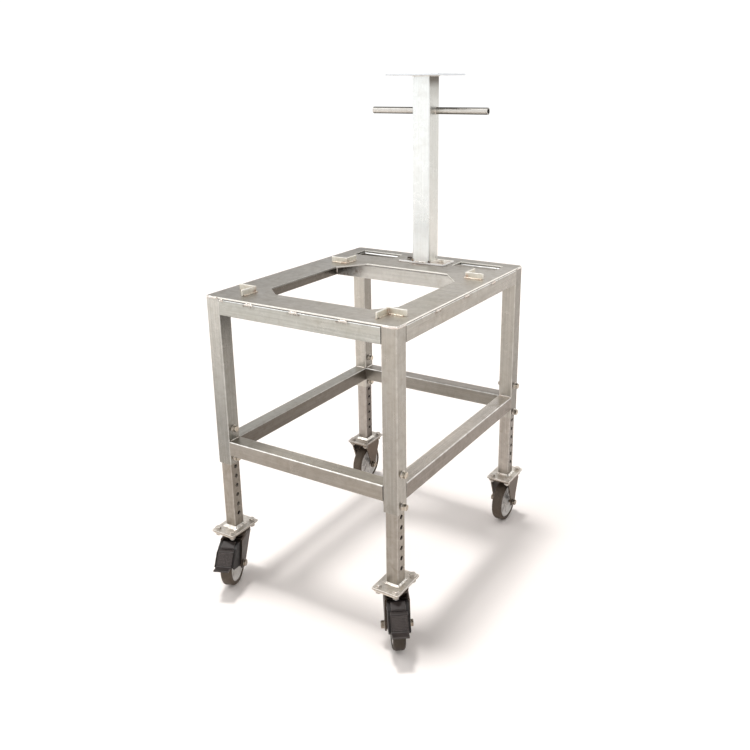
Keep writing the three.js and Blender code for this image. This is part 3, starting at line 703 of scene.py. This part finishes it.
# ------------------------------------------------------------------ top plate and its brackets
OPENING = [(88.5, 124), (136, 83), (393, 83), (434, 130), (434, 393), (380, 457), (141, 457), (88.5, 388)]
plate_holes = [fillet(OPENING, 3.0, 4), rrect(125, 54, 3, 4, 102.5, 575), rrect(122, 54, 3, 4, 408, 575),
               circle(220, 548, 4.6, 28), circle(315, 548, 4.6, 28)]
piece("plate_top", prism(rrect(W, D, 9.0, 8, W / 2, D / 2), plate_holes, PLATE_TOP - PLATE_T, PLATE_TOP, 0.9, 3),
      MAT["plate"], "frame", ["top_plate"])


def bracket(tag, vx, vy, sx, sy):
    a, t = B_ARM, B_T
    p = fillet([(0, 0), (a * sx, 0), (a * sx, t * sy), (t * sx, t * sy), (t * sx, a * sy), (0, a * sy)], [1.2, 0.9, 0.9, 1.5, 0.9, 0.9], 3)
    piece(f"bracket_{tag}", prism(p, [], 0, B_H, 0.8, 3), MAT["bracket"], "frame", [f"locating_bracket_{tag}"], T(vx, vy, PLATE_TOP + GAP))
    o = 0.9
    pts = [(a * sx - 3 * sx, -o * sy), (o * -sx, -o * sy), (-o * sx, a * sy - 3 * sy)]
    inn = [(a * sx - 6 * sx, (t + o) * sy), ((t + o) * sx, (t + o) * sy), ((t + o) * sx, a * sy - 6 * sy)]
    parts = [bead([(vx + x, vy + y, PLATE_TOP + 0.6) for x, y in q], 1.7, seed=hash_tag(tag) + i) for i, q in enumerate((pts, inn))]
    piece(f"weld_bracket_{tag}", parts, MAT["weld_dark"], "frame", wn=False, angle=80)


def hash_tag(s):
    return sum(ord(c) * (i + 3) for i, c in enumerate(s)) % 9973


for tag, q in BRACKETS.items():
    bracket(tag, *q)

# ------------------------------------------------------------------ rails and sleeves
railZ = PLATE_TOP - PLATE_T - GAP - H2
lowZ = LOWER_TOP - H2
runX, runY = W - 2 * TUBE - 2 * GAP, D - 2 * TUBE - 2 * GAP
ALX, ALY = R(90, "Y"), R(-90, "X")


def rail(node, axis, x, y, z, ln, finish=None):
    piece(node.replace("_rail", "_tube"), sqtube(TUBE, TUBE_WALL, TUBE_R, ln), MAT[finish or axis + ("_low" if z < 500 else "")], "frame", [node],
          T(x, y, z) @ (ALX if axis == "x" else ALY))


rail("top_rail_front", "x", TUBE + GAP, H2, railZ, runX)
rail("top_rail_rear", "x", TUBE + GAP, D - H2, railZ, runX, "x_light")
rail("top_rail_left", "y", H2, TUBE + GAP, railZ, runY, "y_left")
rail("top_rail_right", "y", W - H2, TUBE + GAP, railZ, runY)
rail("cross_rail", "x", TUBE + GAP, 463 + H2, railZ, runX, "x_cross")
rail("lower_rail_front", "x", TUBE + GAP, H2, lowZ, runX)
rail("lower_rail_rear", "x", TUBE + GAP, D - H2, lowZ, runX, "x_back")
rail("lower_rail_left", "y", H2, TUBE + GAP, lowZ, runY, "y_low_left")
rail("lower_rail_right", "y", W - H2, TUBE + GAP, lowZ, runY)

SLEEVE_TOP = PLATE_TOP - PLATE_T - GAP


def screw_part(z):
    """clamp screw on the right face: welded boss, washer, hexagon head"""
    s = [ring(4.2, 8.0, H2 + GAP, H2 + 3.1, 0.6),
         ring(4.2, 7.2, H2 + 3.1, H2 + 4.3, 0.3),
         moved(hexa(13, 6.2), T(0, 0, H2 + 4.3)),
         rod(4.0, INNER / 2 + GAP, H2 + 4.6, 0.5, 24)]
    return [moved(q, T(0, 0, z) @ R(90, "Y")) for q in s]


def nut_part(z):
    """the other end of the same screw on the left face: nut and screw end"""
    s = [ring(4.2, 7.2, H2 + 0.1, H2 + 1.3, 0.3),
         moved(hexa(13, 5.4, True, True), T(0, 0, H2 + 1.3)),
         stud(3.9, H2 + 1.4, H2 + 9.2)]
    return [moved(q, T(0, 0, z) @ R(-90, "Y")) for q in s]


for tag, (cx, cy, swivel) in LEGS.items():
    piece(f"sleeve_{tag}", sqtube(TUBE, TUBE_WALL, TUBE_R, SLEEVE_TOP - SLEEVE_BOTTOM), MAT[f"z_{tag}"], "frame", [f"leg_sleeve_{tag}"], T(cx, cy, SLEEVE_BOTTOM))
    for level, z in zip(("lower", "upper"), LOCK_Z):
        spin = R(hash_tag(tag + level) % 60, "X")
        piece(f"screw_{tag}_{level}", screw_part(0), MAT["bolt_leg"], "frame", [f"lock_screw_{tag}_{level}"], T(cx, cy, z) @ spin)
        piece(f"screw_nut_{tag}_{level}", nut_part(0), MAT["bolt"], "frame", M=T(cx, cy, z) @ spin)
        piece(f"weld_screw_{tag}_{level}", [bead([(cx + H2 + 0.6, cy + 8.1 * math.cos(2 * pi * i / 24), z + 8.1 * math.sin(2 * pi * i / 24)) for i in range(24)], 0.9, True, seed=hash_tag(tag + level))],
              MAT["weld"], "frame", wn=False, angle=80)

    # inner tube with round adjusting holes
    z0 = FOOT_TOP + GAP
    holes = merged([moved(rod(HOLE_D / 2, -22, 22, 0.01, 32), T(0, 0, HOLE_FIRST + i * HOLE_PITCH - z0) @ R(90, "Y")) for i in range(HOLE_COUNT)])
    inner = csg(sqtube(INNER, INNER_WALL, INNER_R, INNER_TOP - z0), [holes], "DIFFERENCE")
    piece(f"inner_{tag}", inner, MAT[f"inner_{tag}"], f"leg_{tag}", [f"inner_leg_{tag}"], T(cx, cy, z0))

# ------------------------------------------------------------------ post
PX, PY0, PS = 267.5, 522.0, 50.8
PYC = PY0 + PS / 2
pz = PLATE_TOP + GAP
piece("post_base", prism(rrect(136, 61, 2.5, 4, PX, PY0 + 30.5), [circle(220, 548, 4.6, 28), circle(315, 548, 4.6, 28)], pz, pz + 4.8, 0.8, 3),
      MAT["base"], "frame", ["post_base_plate"])
plen = 1211.6 - GAP - (pz + 4.8 + GAP)
pz1 = pz + 4.8 + GAP
post = csg(sqtube(PS, 3.2, 4.6, plen, 8, 0.5), [moved(rod(8.8, -40, 40, 0.01, 40), T(0, 558 - PYC, 1127.3 - pz1) @ R(90, "Y"))], "DIFFERENCE")
piece("post_tube", post, MAT["post"], "frame", ["post"], T(PX, PYC, pz1))
piece("post_head", prism(rrect(148, 148, 3, 5, PX, PYC), [], 1211.6, 1216.4, 0.8, 3), MAT["head"], "frame", ["post_head_plate"])
piece("cross_tube", lathe([(5.7, 0.4), (6.1, 0.0), (8.1, 0.0), (8.5, 0.4), (8.5, 329.6), (8.1, 330), (6.1, 330), (5.7, 329.6)], 48), MAT["bar"], "frame", ["cross_bar"], T(106, 558, 1127.3) @ ALX)
for side, x in (("left", 220), ("right", 315)):
    top = pz + 4.8 + GAP
    under = PLATE_TOP - PLATE_T - GAP
    parts = [ring(4.2, 7.8, top, top + 1.2, 0.3), moved(hexa(13, 4.6), T(0, 0, top + 1.2)), ring(4.2, 7.8, under - 1.2, under, 0.3),
             moved(hexa(13, 5.6, True, True), T(0, 0, under - 6.8)), stud(3.9, under - 10, under - 1), rod(3.9, under - 1, top + 1.3, 0.3, 24)]
    piece(f"post_screw_{side}", parts, MAT["bolt_dark" if side == "left" else "bolt_light"], "frame", [f"post_bolt_{side}"], T(x, 548, 0))

# ------------------------------------------------------------------ feet and casters
STUDS = [(-22.25, -36.5), (22.25, -36.5), (22.25, 36.5), (-22.25, 36.5)]
UNDER = FOOT_TOP - FOOT_T
CTOP = UNDER - GAP
CUND = CTOP - 3.0


def side_prism(outline, xa, xb, b=0.5, seg=2):
    """outline in (distance towards -Y, height), thickness along X"""
    Mx = Matrix(((0, 0, 1, 0), (-1, 0, 0, 0), (0, 1, 0, 0), (0, 0, 0, 1)))
    V, F = prism(outline, [], xa, xb, b, seg)
    V, F = moved((V, F), Mx)
    if Mx.determinant() < 0:
        F = [tuple(reversed(f)) for f in F]
    return V, F


def arc_pts(cx, cy, r, a0, a1, n):
    return [(cx + r * math.cos(math.radians(a0 + (a1 - a0) * i / n)), cy + r * math.sin(math.radians(a0 + (a1 - a0) * i / n))) for i in range(n + 1)]


def tyre_part():
    h, r, ri, k = 14.25, WHEEL_R, 46.3, 6.5
    p = [(ri, -h + 1.6), (ri + 0.8, -h + 0.5), (ri + 2.2, -h)]
    p += [(r - k + k * math.sin(math.radians(a)), -h + k - k * math.cos(math.radians(a))) for a in range(0, 91, 15)]
    p += [(r, -3.0), (r - 0.25, -2.2), (r - 0.25, -1.8), (r, -1.0), (r, 1.0), (r - 0.25, 1.8), (r - 0.25, 2.2), (r, 3.0)]
    p += [(r - k + k * math.cos(math.radians(a)), h - k + k * math.sin(math.radians(a))) for a in range(0, 91, 15)]
    p += [(ri + 2.2, h), (ri + 0.8, h - 0.5), (ri, h - 1.6)]
    return moved(lathe(p, 96), R(90, "Y"))


def hub_part():
    b = 4.6
    half = [(b, 16.4), (10.5, 16.4), (12.2, 15.2), (13.4, 9.5), (15.5, 7.0), (34.0, 6.2), (37.5, 8.0), (39.5, 11.4), (41.0, 12.2), (44.6, 12.4), (46.0, 11.2)]
    p = half + [(r, -z) for r, z in reversed(half)]
    disc = lathe(p, 96)
    ribs = []
    for k in range(8):
        for s in (1, -1):
            rb = prism([(13.0, -1.4), (38.4, -1.4), (38.4, 1.4), (13.0, 1.4)], [], 5.5, 9.0, 0.5, 2)
            ribs.append(moved(rb, R(45 * k, "Z") @ (R(180, "X") if s < 0 else Matrix())))
    solid = csg(disc, [merged(ribs)], "UNION")
    return moved(solid, R(90, "Y"))


def axle_parts():
    s = [rod(4.4, -36.8, 31.0, 0.4, 28),
         ring(4.5, 9.0, -(28 + GAP + 1.6), -(28 + GAP), 0.3),
         moved(hexa(14.6, 7.0), T(0, 0, -(28 + GAP + 1.6)) @ R(180, "X") @ R(30, "Z")),
         ring(4.5, 8.4, 28 + GAP, 28 + GAP + 1.2, 0.3),
         moved(hexa(15, 5.6), T(0, 0, 28 + GAP + 1.2)),
         stud(4.4, 30.5, 35.6)]
    return [moved(q, R(90, "Y")) for q in s]


FORK_SIDE = fillet([(-29.9, 124), (-29.9, 110), (-18, 98), (20, 51), (27, 44), (38, 42.5), (46, 47), (48.5, 58), (33.8, 118), (33.8, 124)],
                   [0, 5, 8, 8, 6, 6, 6, 6, 3, 0], 4)


def swivel_fork():
    # bent strap section (x, z) with rounded bends, run along Y, trimmed to the side outline
    ro, t, top, hw = 6.0, 3.5, 121.4, 28.0
    p = [(-hw, 30)] + arc_pts(-hw + ro, top - ro, ro, 180, 90, 6) + arc_pts(hw - ro, top - ro, ro, 90, 0, 6) + [(hw, 30)]
    p += [(hw - t, 30)] + arc_pts(hw - ro, top - ro, ro - t, 0, 90, 5) + arc_pts(-hw + ro, top - ro, ro - t, 90, 180, 5) + [(-hw + t, 30)]
    V, F = prism(p, [], -55, 60, 0)
    strap = moved((V, F), R(90, "X"))            # section in XZ, run along -Y..+Y
    solid = csg(strap, [side_prism(FORK_SIDE, -40, 40, 0)], "INTERSECT")
    race = lathe([(6.4, 119.0), (27.4, 119.0), (28.4, 120.6), (28.4, 123.4), (27.6, 124.3), (25.8, 124.8), (25.2, 128.5), (23.0, 131.6), (20.5, 132.4), (6.4, 132.4)], 64)
    lip = prism([(-24.6, 119.0), (-24.6, 101.0), (-15.8, 101.0), (-15.2, 113.4), (15.2, 113.4), (15.8, 101.0), (24.6, 101.0), (24.6, 119.0)], [], 31.6, 33.4, 0.0)
    solid = csg(solid, [race, moved(lip, R(90, "X"))], "UNION")
    bore = merged([rod(6.4, 100, 140, 0.01, 32)])
    pin = moved(rod(4.7, -60, 60, 0.01, 32), T(0, -TRAIL, WHEEL_R) @ R(90, "Y"))
    return csg(solid, [bore, pin], "DIFFERENCE")


def rigid_fork():
    leg = fillet([(-33, CUND + 1), (-33, 120), (-13, 66), (-10.5, 49), (0, 43), (10.5, 49), (13, 66), (33, 120), (33, CUND + 1)], [0, 6, 10, 6, 9, 6, 10, 6, 0], 4)
    plate = prism(rrect(60.3, 92, 4, 5), [circle(x, y, 4.3, 20) for x, y in STUDS], CUND, CTOP, 0.5, 2)
    ro, t, hw = 5.5, 3.5, 28.0
    top = CTOP - 0.6
    p = [(-hw, 30)] + arc_pts(-hw + ro, top - ro, ro, 180, 90, 6) + arc_pts(hw - ro, top - ro, ro, 90, 0, 6) + [(hw, 30)]
    p += [(hw - t, 30)] + arc_pts(hw - ro, top - ro, ro - t, 0, 90, 5) + arc_pts(-hw + ro, top - ro, ro - t, 90, 180, 5) + [(-hw + t, 30)]
    strap = moved(prism(p, [], -55, 60, 0), R(90, "X"))
    side = [(r, z + (3 if z > CUND else 0)) for r, z in leg]
    solid = csg(strap, [side_prism(side, -40, 40, 0)], "INTERSECT")
    solid = csg(solid, [plate], "UNION")
    cuts = merged([rod(8.6, CUND - 9.1, CUND - 0.1, 0.01, 24)])
    tools = [moved(cuts, T(x, y, 0)) for x, y in STUDS]
    tools += [moved(rod(4.3, CUND - 5, CTOP + 5, 0.01, 20), T(x, y, 0)) for x, y in STUDS]
    tools.append(moved(rod(4.7, -60, 60, 0.01, 32), T(0, 0, WHEEL_R) @ R(90, "Y")))
    return csg(solid, tools, "DIFFERENCE")


def pedal_part():
    low = fillet([(66.0, 110.6), (75, 109.6), (98, 81.6), (117.5, 83.6), (117.5, 79.8), (95.5, 77), (72, 105.2), (65.5, 106.4)], [1.5, 4, 4, 1.4, 1.4, 4, 3, 1], 4)
    up = fillet([(44, 117), (46, 121), (64, 114.6), (66.0, 112.0), (64.5, 108.4), (61.5, 110.6)], [1, 1.5, 2, 1, 1, 1], 3)
    back = [(36, 113.8), (36, 117.2), (49, 118.3), (63.6, 112.8), (66.8, 109.3), (73.6, 107.7), (95.4, 80.7), (93.2, 77.8), (71.2, 103.8), (65, 105), (61, 109.2), (47, 113.6)]
    cheek = fillet([(36, 114), (36, 117.2), (46, 119), (62, 112.4), (66.5, 108.4), (73.5, 107.4), (96.5, 79.5), (88, 70), (52, 58), (44, 50), (34, 46.5), (26, 50), (24.2, 58), (30, 74), (34, 100)],
                   [0.6, 1, 2, 2, 2, 2, 2, 6, 6, 6, 5, 5, 6, 6, 4], 3)
    low_back = [(x - (0.5 if x > 40 else 0), z - 0.5) for x, z in back]
    body = side_prism(low, -18.8, 18.8, 0.9)
    tools = [side_prism(up, -15.9, 15.9, 0.9)]
    arm = csg(side_prism(low_back, -23.6, 23.6, 0.0), [side_prism(cheek, -24, -20.2, 0.6), side_prism(cheek, 20.2, 24, 0.6)], "UNION")
    # faint anti-slip ribs across the sloping tread
    d = Vector((98 - 75, 81.6 - 109.6)).normalized()
    nrm = Vector((-d.y, d.x))
    for k in range(10):
        c = Vector((75, 109.6)) + d * (4.0 + 3.1 * k)
        q = [c - d * 0.8 - nrm * 0.8, c + d * 0.8 - nrm * 0.8, c + d * 0.5 + nrm * 0.22, c - d * 0.5 + nrm * 0.22]
        tools.append(side_prism([(v.x, v.y) for v in q], -16.4, 16.4, 0.0))
    solid = csg(body, tools, "UNION")
    pin = moved(rod(4.8, -60, 60, 0.01, 32), T(0, -TRAIL, WHEEL_R) @ R(90, "Y"))
    return solid, csg(arm, [pin], "DIFFERENCE")


TYRE, HUB, AXLE = tyre_part(), hub_part(), axle_parts()
FOOT_WELD = {"front_left": (7.0, 6.4), "front_right": (4.6, 3.6), "rear_right": (5.2, 4.4), "rear_left": (6.0, 5.2)}
FORK_S, FORK_R, PEDAL = swivel_fork(), rigid_fork(), pedal_part()

for tag, (cx, cy, swivel) in LEGS.items():
    rnd = random.Random(hash_tag(tag))
    C = T(cx, cy, 0)
    parts = [prism(rrect(67, 95, 2.5, 4), [], UNDER, FOOT_TOP, 0.9, 3)]
    for x, y in STUDS:
        spin = R(rnd.uniform(0, 60), "Z")
        P2 = T(x, y, 0)
        parts += [moved(ring(4.2, 8.0, FOOT_TOP + 0.02, FOOT_TOP + 1.3, 0.3), P2),
                  moved(hexa(13, 4.6), P2 @ T(0, 0, FOOT_TOP + 1.3) @ spin),
                  moved(hexa(13, 5.6, True, True), P2 @ T(0, 0, CUND - GAP - 6.0) @ spin),
                  moved(stud(3.9, CUND - 9.5, CUND - 2), P2), moved(rod(3.9, CUND - 2.2, UNDER + 0.6, 0.2, 24), P2)]
    piece(f"foot_{tag}", parts, MAT[{"rear_left": "foot_shaded", "front_left": "foot_half_shaded"}.get(tag, "foot")], f"leg_{tag}", [f"foot_plate_{tag}"], C)
    wide, high = FOOT_WELD[tag]
    piece(f"weld_foot_{tag}", [skirt(cx, cy, INNER / 2 + wide, INNER / 2 + 0.7, INNER / 2 + 0.1, FOOT_TOP + 0.05, FOOT_TOP + high, hash_tag(tag))],
          MAT["weld_clean"], f"leg_{tag}", wn=False, angle=50)

    rot = R(swivel, "Z") if swivel is not None else Matrix()
    hubM = C @ rot @ T(0, -TRAIL if swivel is not None else 0, WHEEL_R)
    wb = f"wheel_{tag}"
    piece(f"tread_{tag}", TYRE, MAT["tread_shaded" if tag == "front_right" else "tread"], wb, [f"tyre_{tag}"], hubM, angle=40)
    piece(f"hub_{tag}", HUB, MAT["hub"], wb, [f"wheel_hub_{tag}"], hubM, bevel=0.0)
    if swivel is not None:
        sw = f"swivel_{tag}"
        plate = [prism(rrect(60.3, 92, 4, 5), [circle(x, y, 4.3, 20) for x, y in STUDS], CUND, CTOP, 0.5, 2),
                 rod(5.9, 113.2, CUND + 0.02, 0.3, 32), moved(hexa(17, 5.0, True, True), T(0, 0, 112)), ring(6.0, 11.0, 117.0, 117.6, 0.2)]
        piece(f"mount_plate_{tag}", plate, MAT["race"], f"leg_{tag}", [f"caster_plate_{tag}"], C)
        piece(f"fork_{tag}", FORK_S, MAT["fork"], sw, [f"caster_fork_{tag}"], C @ rot, bevel=0.45)
        piece(f"spindle_{tag}", AXLE, MAT["bolt"], sw, [f"axle_{tag}"], hubM)
        piece(f"pedal_pad_{tag}", PEDAL[0], MAT["nylon"], f"pedal_{tag}", [f"brake_pedal_{tag}"], C @ rot)
        piece(f"pedal_arms_{tag}", PEDAL[1], MAT["nylon_dark"], f"pedal_{tag}", M=C @ rot)
    else:
        piece(f"fork_{tag}", FORK_R, MAT["zinc"], f"leg_{tag}", [f"rigid_fork_{tag}"], C, bevel=0.45)
        piece(f"spindle_{tag}", AXLE, MAT["bolt"], f"leg_{tag}", [f"axle_{tag}"], hubM)

# ------------------------------------------------------------------ weld beads on the frame
EDGE = PLATE_TOP - PLATE_T - 0.1
stitch = []
for i, (x, h) in enumerate(STITCH_X):
    stitch.append(bead([(x - h, 0.9, EDGE - 2.2), (x + h, 0.9, EDGE - 2.2)], 3.0, seed=11 + i, pitch=4.0, amp=0.3))
for i, y in enumerate(STITCH_Y):
    stitch.append(bead([(W - 0.9, y - 12, EDGE - 2.2), (W - 0.9, y + 12, EDGE - 2.2)], 3.0, seed=31 + i, pitch=4.0, amp=0.3))
    stitch.append(bead([(0.9, y - 12, EDGE - 2.2), (0.9, y + 12, EDGE - 2.2)], 3.0, seed=41 + i, pitch=4.0, amp=0.3))
for i, x in enumerate((120, 254, 390)):
    stitch.append(bead([(x - 10, D + 0.2, EDGE), (x + 10, D + 0.2, EDGE)], 1.9, seed=51 + i))
# beads round the plate's four corners
for i, (cx, cy, a0) in enumerate(((0, 0, 180), (W, 0, 270), (W, D, 0), (0, D, 90))):
    rr = 8.5
    ccx = rr if cx == 0 else W - rr
    ccy = rr if cy == 0 else D - rr
    arc = [(ccx + (rr + 0.3) * math.cos(math.radians(a0 + 90 * k / 6)), ccy + (rr + 0.3) * math.sin(math.radians(a0 + 90 * k / 6)), PLATE_TOP - 2.9) for k in range(7)]
    a, b = Vector(arc[0]), Vector(arc[-1])
    ta = (a - Vector(arc[1])).normalized()
    tb = (b - Vector(arc[-2])).normalized()
    ta = Vector((round(ta.x), round(ta.y), 0))
    tb = Vector((round(tb.x), round(tb.y), 0))
    thick = 3.0 if i == 1 else 2.3
    stitch.append(bead([tuple(a + ta * 27)] + arc + [tuple(b + tb * 27)], thick, seed=61 + i, pitch=4.6, amp=0.3, sides=14))
piece("weld_plate_edge", stitch, MAT["weld"], "frame", wn=False, angle=80)

# rail end welds: a short fillet under each rail and on top of each lower rail where it meets its leg
ends = []
s = 70
for z, both in ((railZ, False), (lowZ, True)):
    for x0, sx in ((TUBE, 1), (W - TUBE, -1)):
        for y in (H2, D - H2):
            for zz in ([z - H2] + ([z + H2] if both else [])):
                s += 1
                ends.append(bead([(x0 + 0.2 * sx, y - 14, zz), (x0 + 0.2 * sx, y + 14, zz)], 1.8, seed=s))
    for y0, sy in ((TUBE, 1), (D - TUBE, -1)):
        for x in (H2, W - H2):
            for zz in ([z - H2] + ([z + H2] if both else [])):
                s += 1
                ends.append(bead([(x - 14, y0 + 0.2 * sy, zz), (x + 14, y0 + 0.2 * sy, zz)], 1.8, seed=s))
for x0, sx in ((TUBE, 1), (W - TUBE, -1)):
    for y in (463, 463 + TUBE):
        s += 1
        ends.append(bead([(x0 + 0.2 * sx, y, railZ - 13), (x0 + 0.2 * sx, y, railZ + 13)], 1.8, seed=s))
    ends.append(bead([(x0 + 0.2 * sx, 463 + H2 - 14, railZ - H2), (x0 + 0.2 * sx, 463 + H2 + 14, railZ - H2)], 1.8, seed=s + 50))
ends.append(bead([(W - TUBE + 2, D - TUBE - 0.8, lowZ + H2 + 0.4), (W - 1.5, D - TUBE - 0.8, lowZ + H2 + 0.4)], 3.0, seed=140, pitch=4.2, amp=0.3))
ends.append(bead([(1.5, TUBE - 12, lowZ + H2 + 0.2), (1.5, TUBE + 8, lowZ + H2 + 0.2)], 1.6, seed=141))
piece("weld_rail_ends", ends, MAT["weld"], "frame", wn=False, angle=80)

pw = []
q = PS / 2 + 0.9
u = q - 5
pw.append(bead([(PX - q, PYC - u, pz + 5.3), (PX - q, PYC + u, pz + 5.3), (PX - u, PYC + q, pz + 5.3), (PX + u, PYC + q, pz + 5.3), (PX + q, PYC + u, pz + 5.3), (PX + q, PYC - u, pz + 5.3)], 2.3, False, seed=91, pitch=3.0))
pw.append(bead([(PX - u + 4, PYC - q + 0.4, pz + 5.2), (PX + u - 4, PYC - q + 0.4, pz + 5.2)], 1.5, False, seed=94, pitch=3.0))
pw.append(bead([(PX + x, PYC + y, 1211.2) for x, y in rrect(2 * q, 2 * q, 5, 4)], 1.4, True, seed=92, pitch=3.0))
for sx in (-1, 1):
    pw.append(bead([(PX + sx * (PS / 2 + 0.2), 558 + 9.0 * math.cos(2 * pi * k / 24), 1127.3 + 9.0 * math.sin(2 * pi * k / 24)) for k in range(24)], 1.2, True, seed=93 + sx))
piece("weld_post", pw, MAT["weld_clean"], "frame", wn=False, angle=80)
# near-black beads at the post's front corners by its base
ends = [bead([(PX + sx * (PS / 2 - 0.8), 521.2, pz + 5.6), (PX + sx * (PS / 2 - 0.6), 521.2, pz + 10.5)], 2.5, False, seed=97 + sx, pitch=3.0) for sx in (-1, 1)]
piece("weld_post_ends", ends, MAT["weld_near_black"], "frame", wn=False, angle=80)

# ------------------------------------------------------------------ floor, light, camera
g = Graph("floor_pale")
co = g.n("ShaderNodeTexCoord", out=3)
fcol = g.mix(g.noise(co, 1.3, 3.0), lin(247, 240, 236), lin(250, 244, 240))
floor_mat = g.out(g.n("ShaderNodeBsdfPrincipled", {"Base Color": fcol, "Roughness": 0.7, "Specular IOR Level": 0.2}))
me = bpy.data.meshes.new("floor")
me.from_pydata([(6 * math.cos(2 * pi * i / 120), 6 * math.sin(2 * pi * i / 120), 0) for i in range(120)], [], [tuple(range(120))])
me.materials.append(floor_mat)
floor = bpy.data.objects.new("floor", me)
scene.collection.objects.link(floor)

world = bpy.data.worlds.new("studio")
scene.world = world
world.use_nodes = True
wt = world.node_tree
wt.nodes.clear()
wco = wt.nodes.new("ShaderNodeTexCoord")
wsep = wt.nodes.new("ShaderNodeSeparateXYZ")
wmap = wt.nodes.new("ShaderNodeMapRange")
wmap.interpolation_type = "SMOOTHSTEP"
for k, v in ((1, 0.32), (2, 0.62), (3, 1.06), (4, 0.36)):
    wmap.inputs[k].default_value = v
# the studio wall towards the front left is a little brighter
wdot = wt.nodes.new("ShaderNodeVectorMath")
wdot.operation = "DOT_PRODUCT"
wdot.inputs[1].default_value = (-0.48, -0.877, 0)
wside = wt.nodes.new("ShaderNodeMapRange")
wside.interpolation_type = "SMOOTHSTEP"
for k, v in ((1, 0.35), (2, 0.97), (3, 1.0), (4, 1.28)):
    wside.inputs[k].default_value = v
wmul = wt.nodes.new("ShaderNodeMath")
wmul.operation = "MULTIPLY"
wbg = wt.nodes.new("ShaderNodeBackground")
wbg.inputs[0].default_value = (1.0, 0.997, 0.993, 1)
wout = wt.nodes.new("ShaderNodeOutputWorld")
wt.links.new(wco.outputs["Generated"], wsep.inputs[0])
wt.links.new(wco.outputs["Generated"], wdot.inputs[0])
wt.links.new(wsep.outputs[2], wmap.inputs[0])
wt.links.new(wdot.outputs["Value"], wside.inputs[0])
wt.links.new(wmap.outputs[0], wmul.inputs[0])
wt.links.new(wside.outputs[0], wmul.inputs[1])
total = wmul.outputs[0]
# two large overhead softboxes: one high on the left, one high at the back
for direction, lo_d, hi_d, level in (((-0.51, -0.34, 0.79), 0.88, 0.95, 1.55), ((0.20, 0.80, 0.565), 0.90, 0.97, 1.0)):
    pd = wt.nodes.new("ShaderNodeVectorMath")
    pd.operation = "DOT_PRODUCT"
    pd.inputs[1].default_value = Vector(direction).normalized()
    pm = wt.nodes.new("ShaderNodeMapRange")
    pm.interpolation_type = "SMOOTHSTEP"
    for k, v in ((1, lo_d), (2, hi_d), (3, 0.0), (4, level)):
        pm.inputs[k].default_value = v
    pa = wt.nodes.new("ShaderNodeMath")
    pa.operation = "ADD"
    wt.links.new(wco.outputs["Generated"], pd.inputs[0])
    wt.links.new(pd.outputs["Value"], pm.inputs[0])
    wt.links.new(total, pa.inputs[0])
    wt.links.new(pm.outputs[0], pa.inputs[1])
    total = pa.outputs[0]
wt.links.new(total, wbg.inputs[1])
wt.links.new(wbg.outputs[0], wout.inputs[0])


def sun(name, direction, strength, angle, color=(1, 1, 1)):
    l = bpy.data.lights.new(name, "SUN")
    l.energy = strength
    l.angle = math.radians(angle)
    l.color = color
    o = bpy.data.objects.new(name, l)
    scene.collection.objects.link(o)
    o.rotation_euler = Vector(direction).to_track_quat("-Z", "Y").to_euler()
    return o


sun("overhead", (0.16, -0.005, -1.0), 1.7, 9.5, (1.0, 0.995, 0.99))

yaw, pitch, roll = -0.5452727430317351, -0.30121833043008267, -0.007893834141339155
fwd = Vector((math.cos(pitch) * math.sin(yaw), math.cos(pitch) * math.cos(yaw), math.sin(pitch)))
right = Vector((math.cos(yaw), -math.sin(yaw), 0))
up = right.cross(fwd)
r2 = right * math.cos(roll) + up * math.sin(roll)
u2 = -right * math.sin(roll) + up * math.cos(roll)
cam = bpy.data.cameras.new("camera")
cam_o = bpy.data.objects.new("camera", cam)
scene.collection.objects.link(cam_o)
cam.sensor_width = 36
cam.lens = 796.6895673614491 / 750 * 36
cam.shift_x = (375 - 396.0) / 750
cam.shift_y = -(375 - 331.1) / 750
cam.clip_end = 200
Mw = Matrix.Identity(4)
for i, v in enumerate((r2, u2, -fwd)):
    for k in range(3):
        Mw[k][i] = v[k]
cam_loc = ((1282.3180235037262 - OX) / 1000, (-1279.0472159727944 - OY) / 1000, (1203.8111781510222 - 10.6) / 1000)
for k in range(3):
    Mw[k][3] = cam_loc[k]
cam_o.matrix_world = Mw
scene.camera = cam_o
scene.view_settings.view_transform = "Standard"
scene.view_settings.look = "None"
scene.view_settings.exposure = 0.0
scene.view_settings.gamma = 1.0
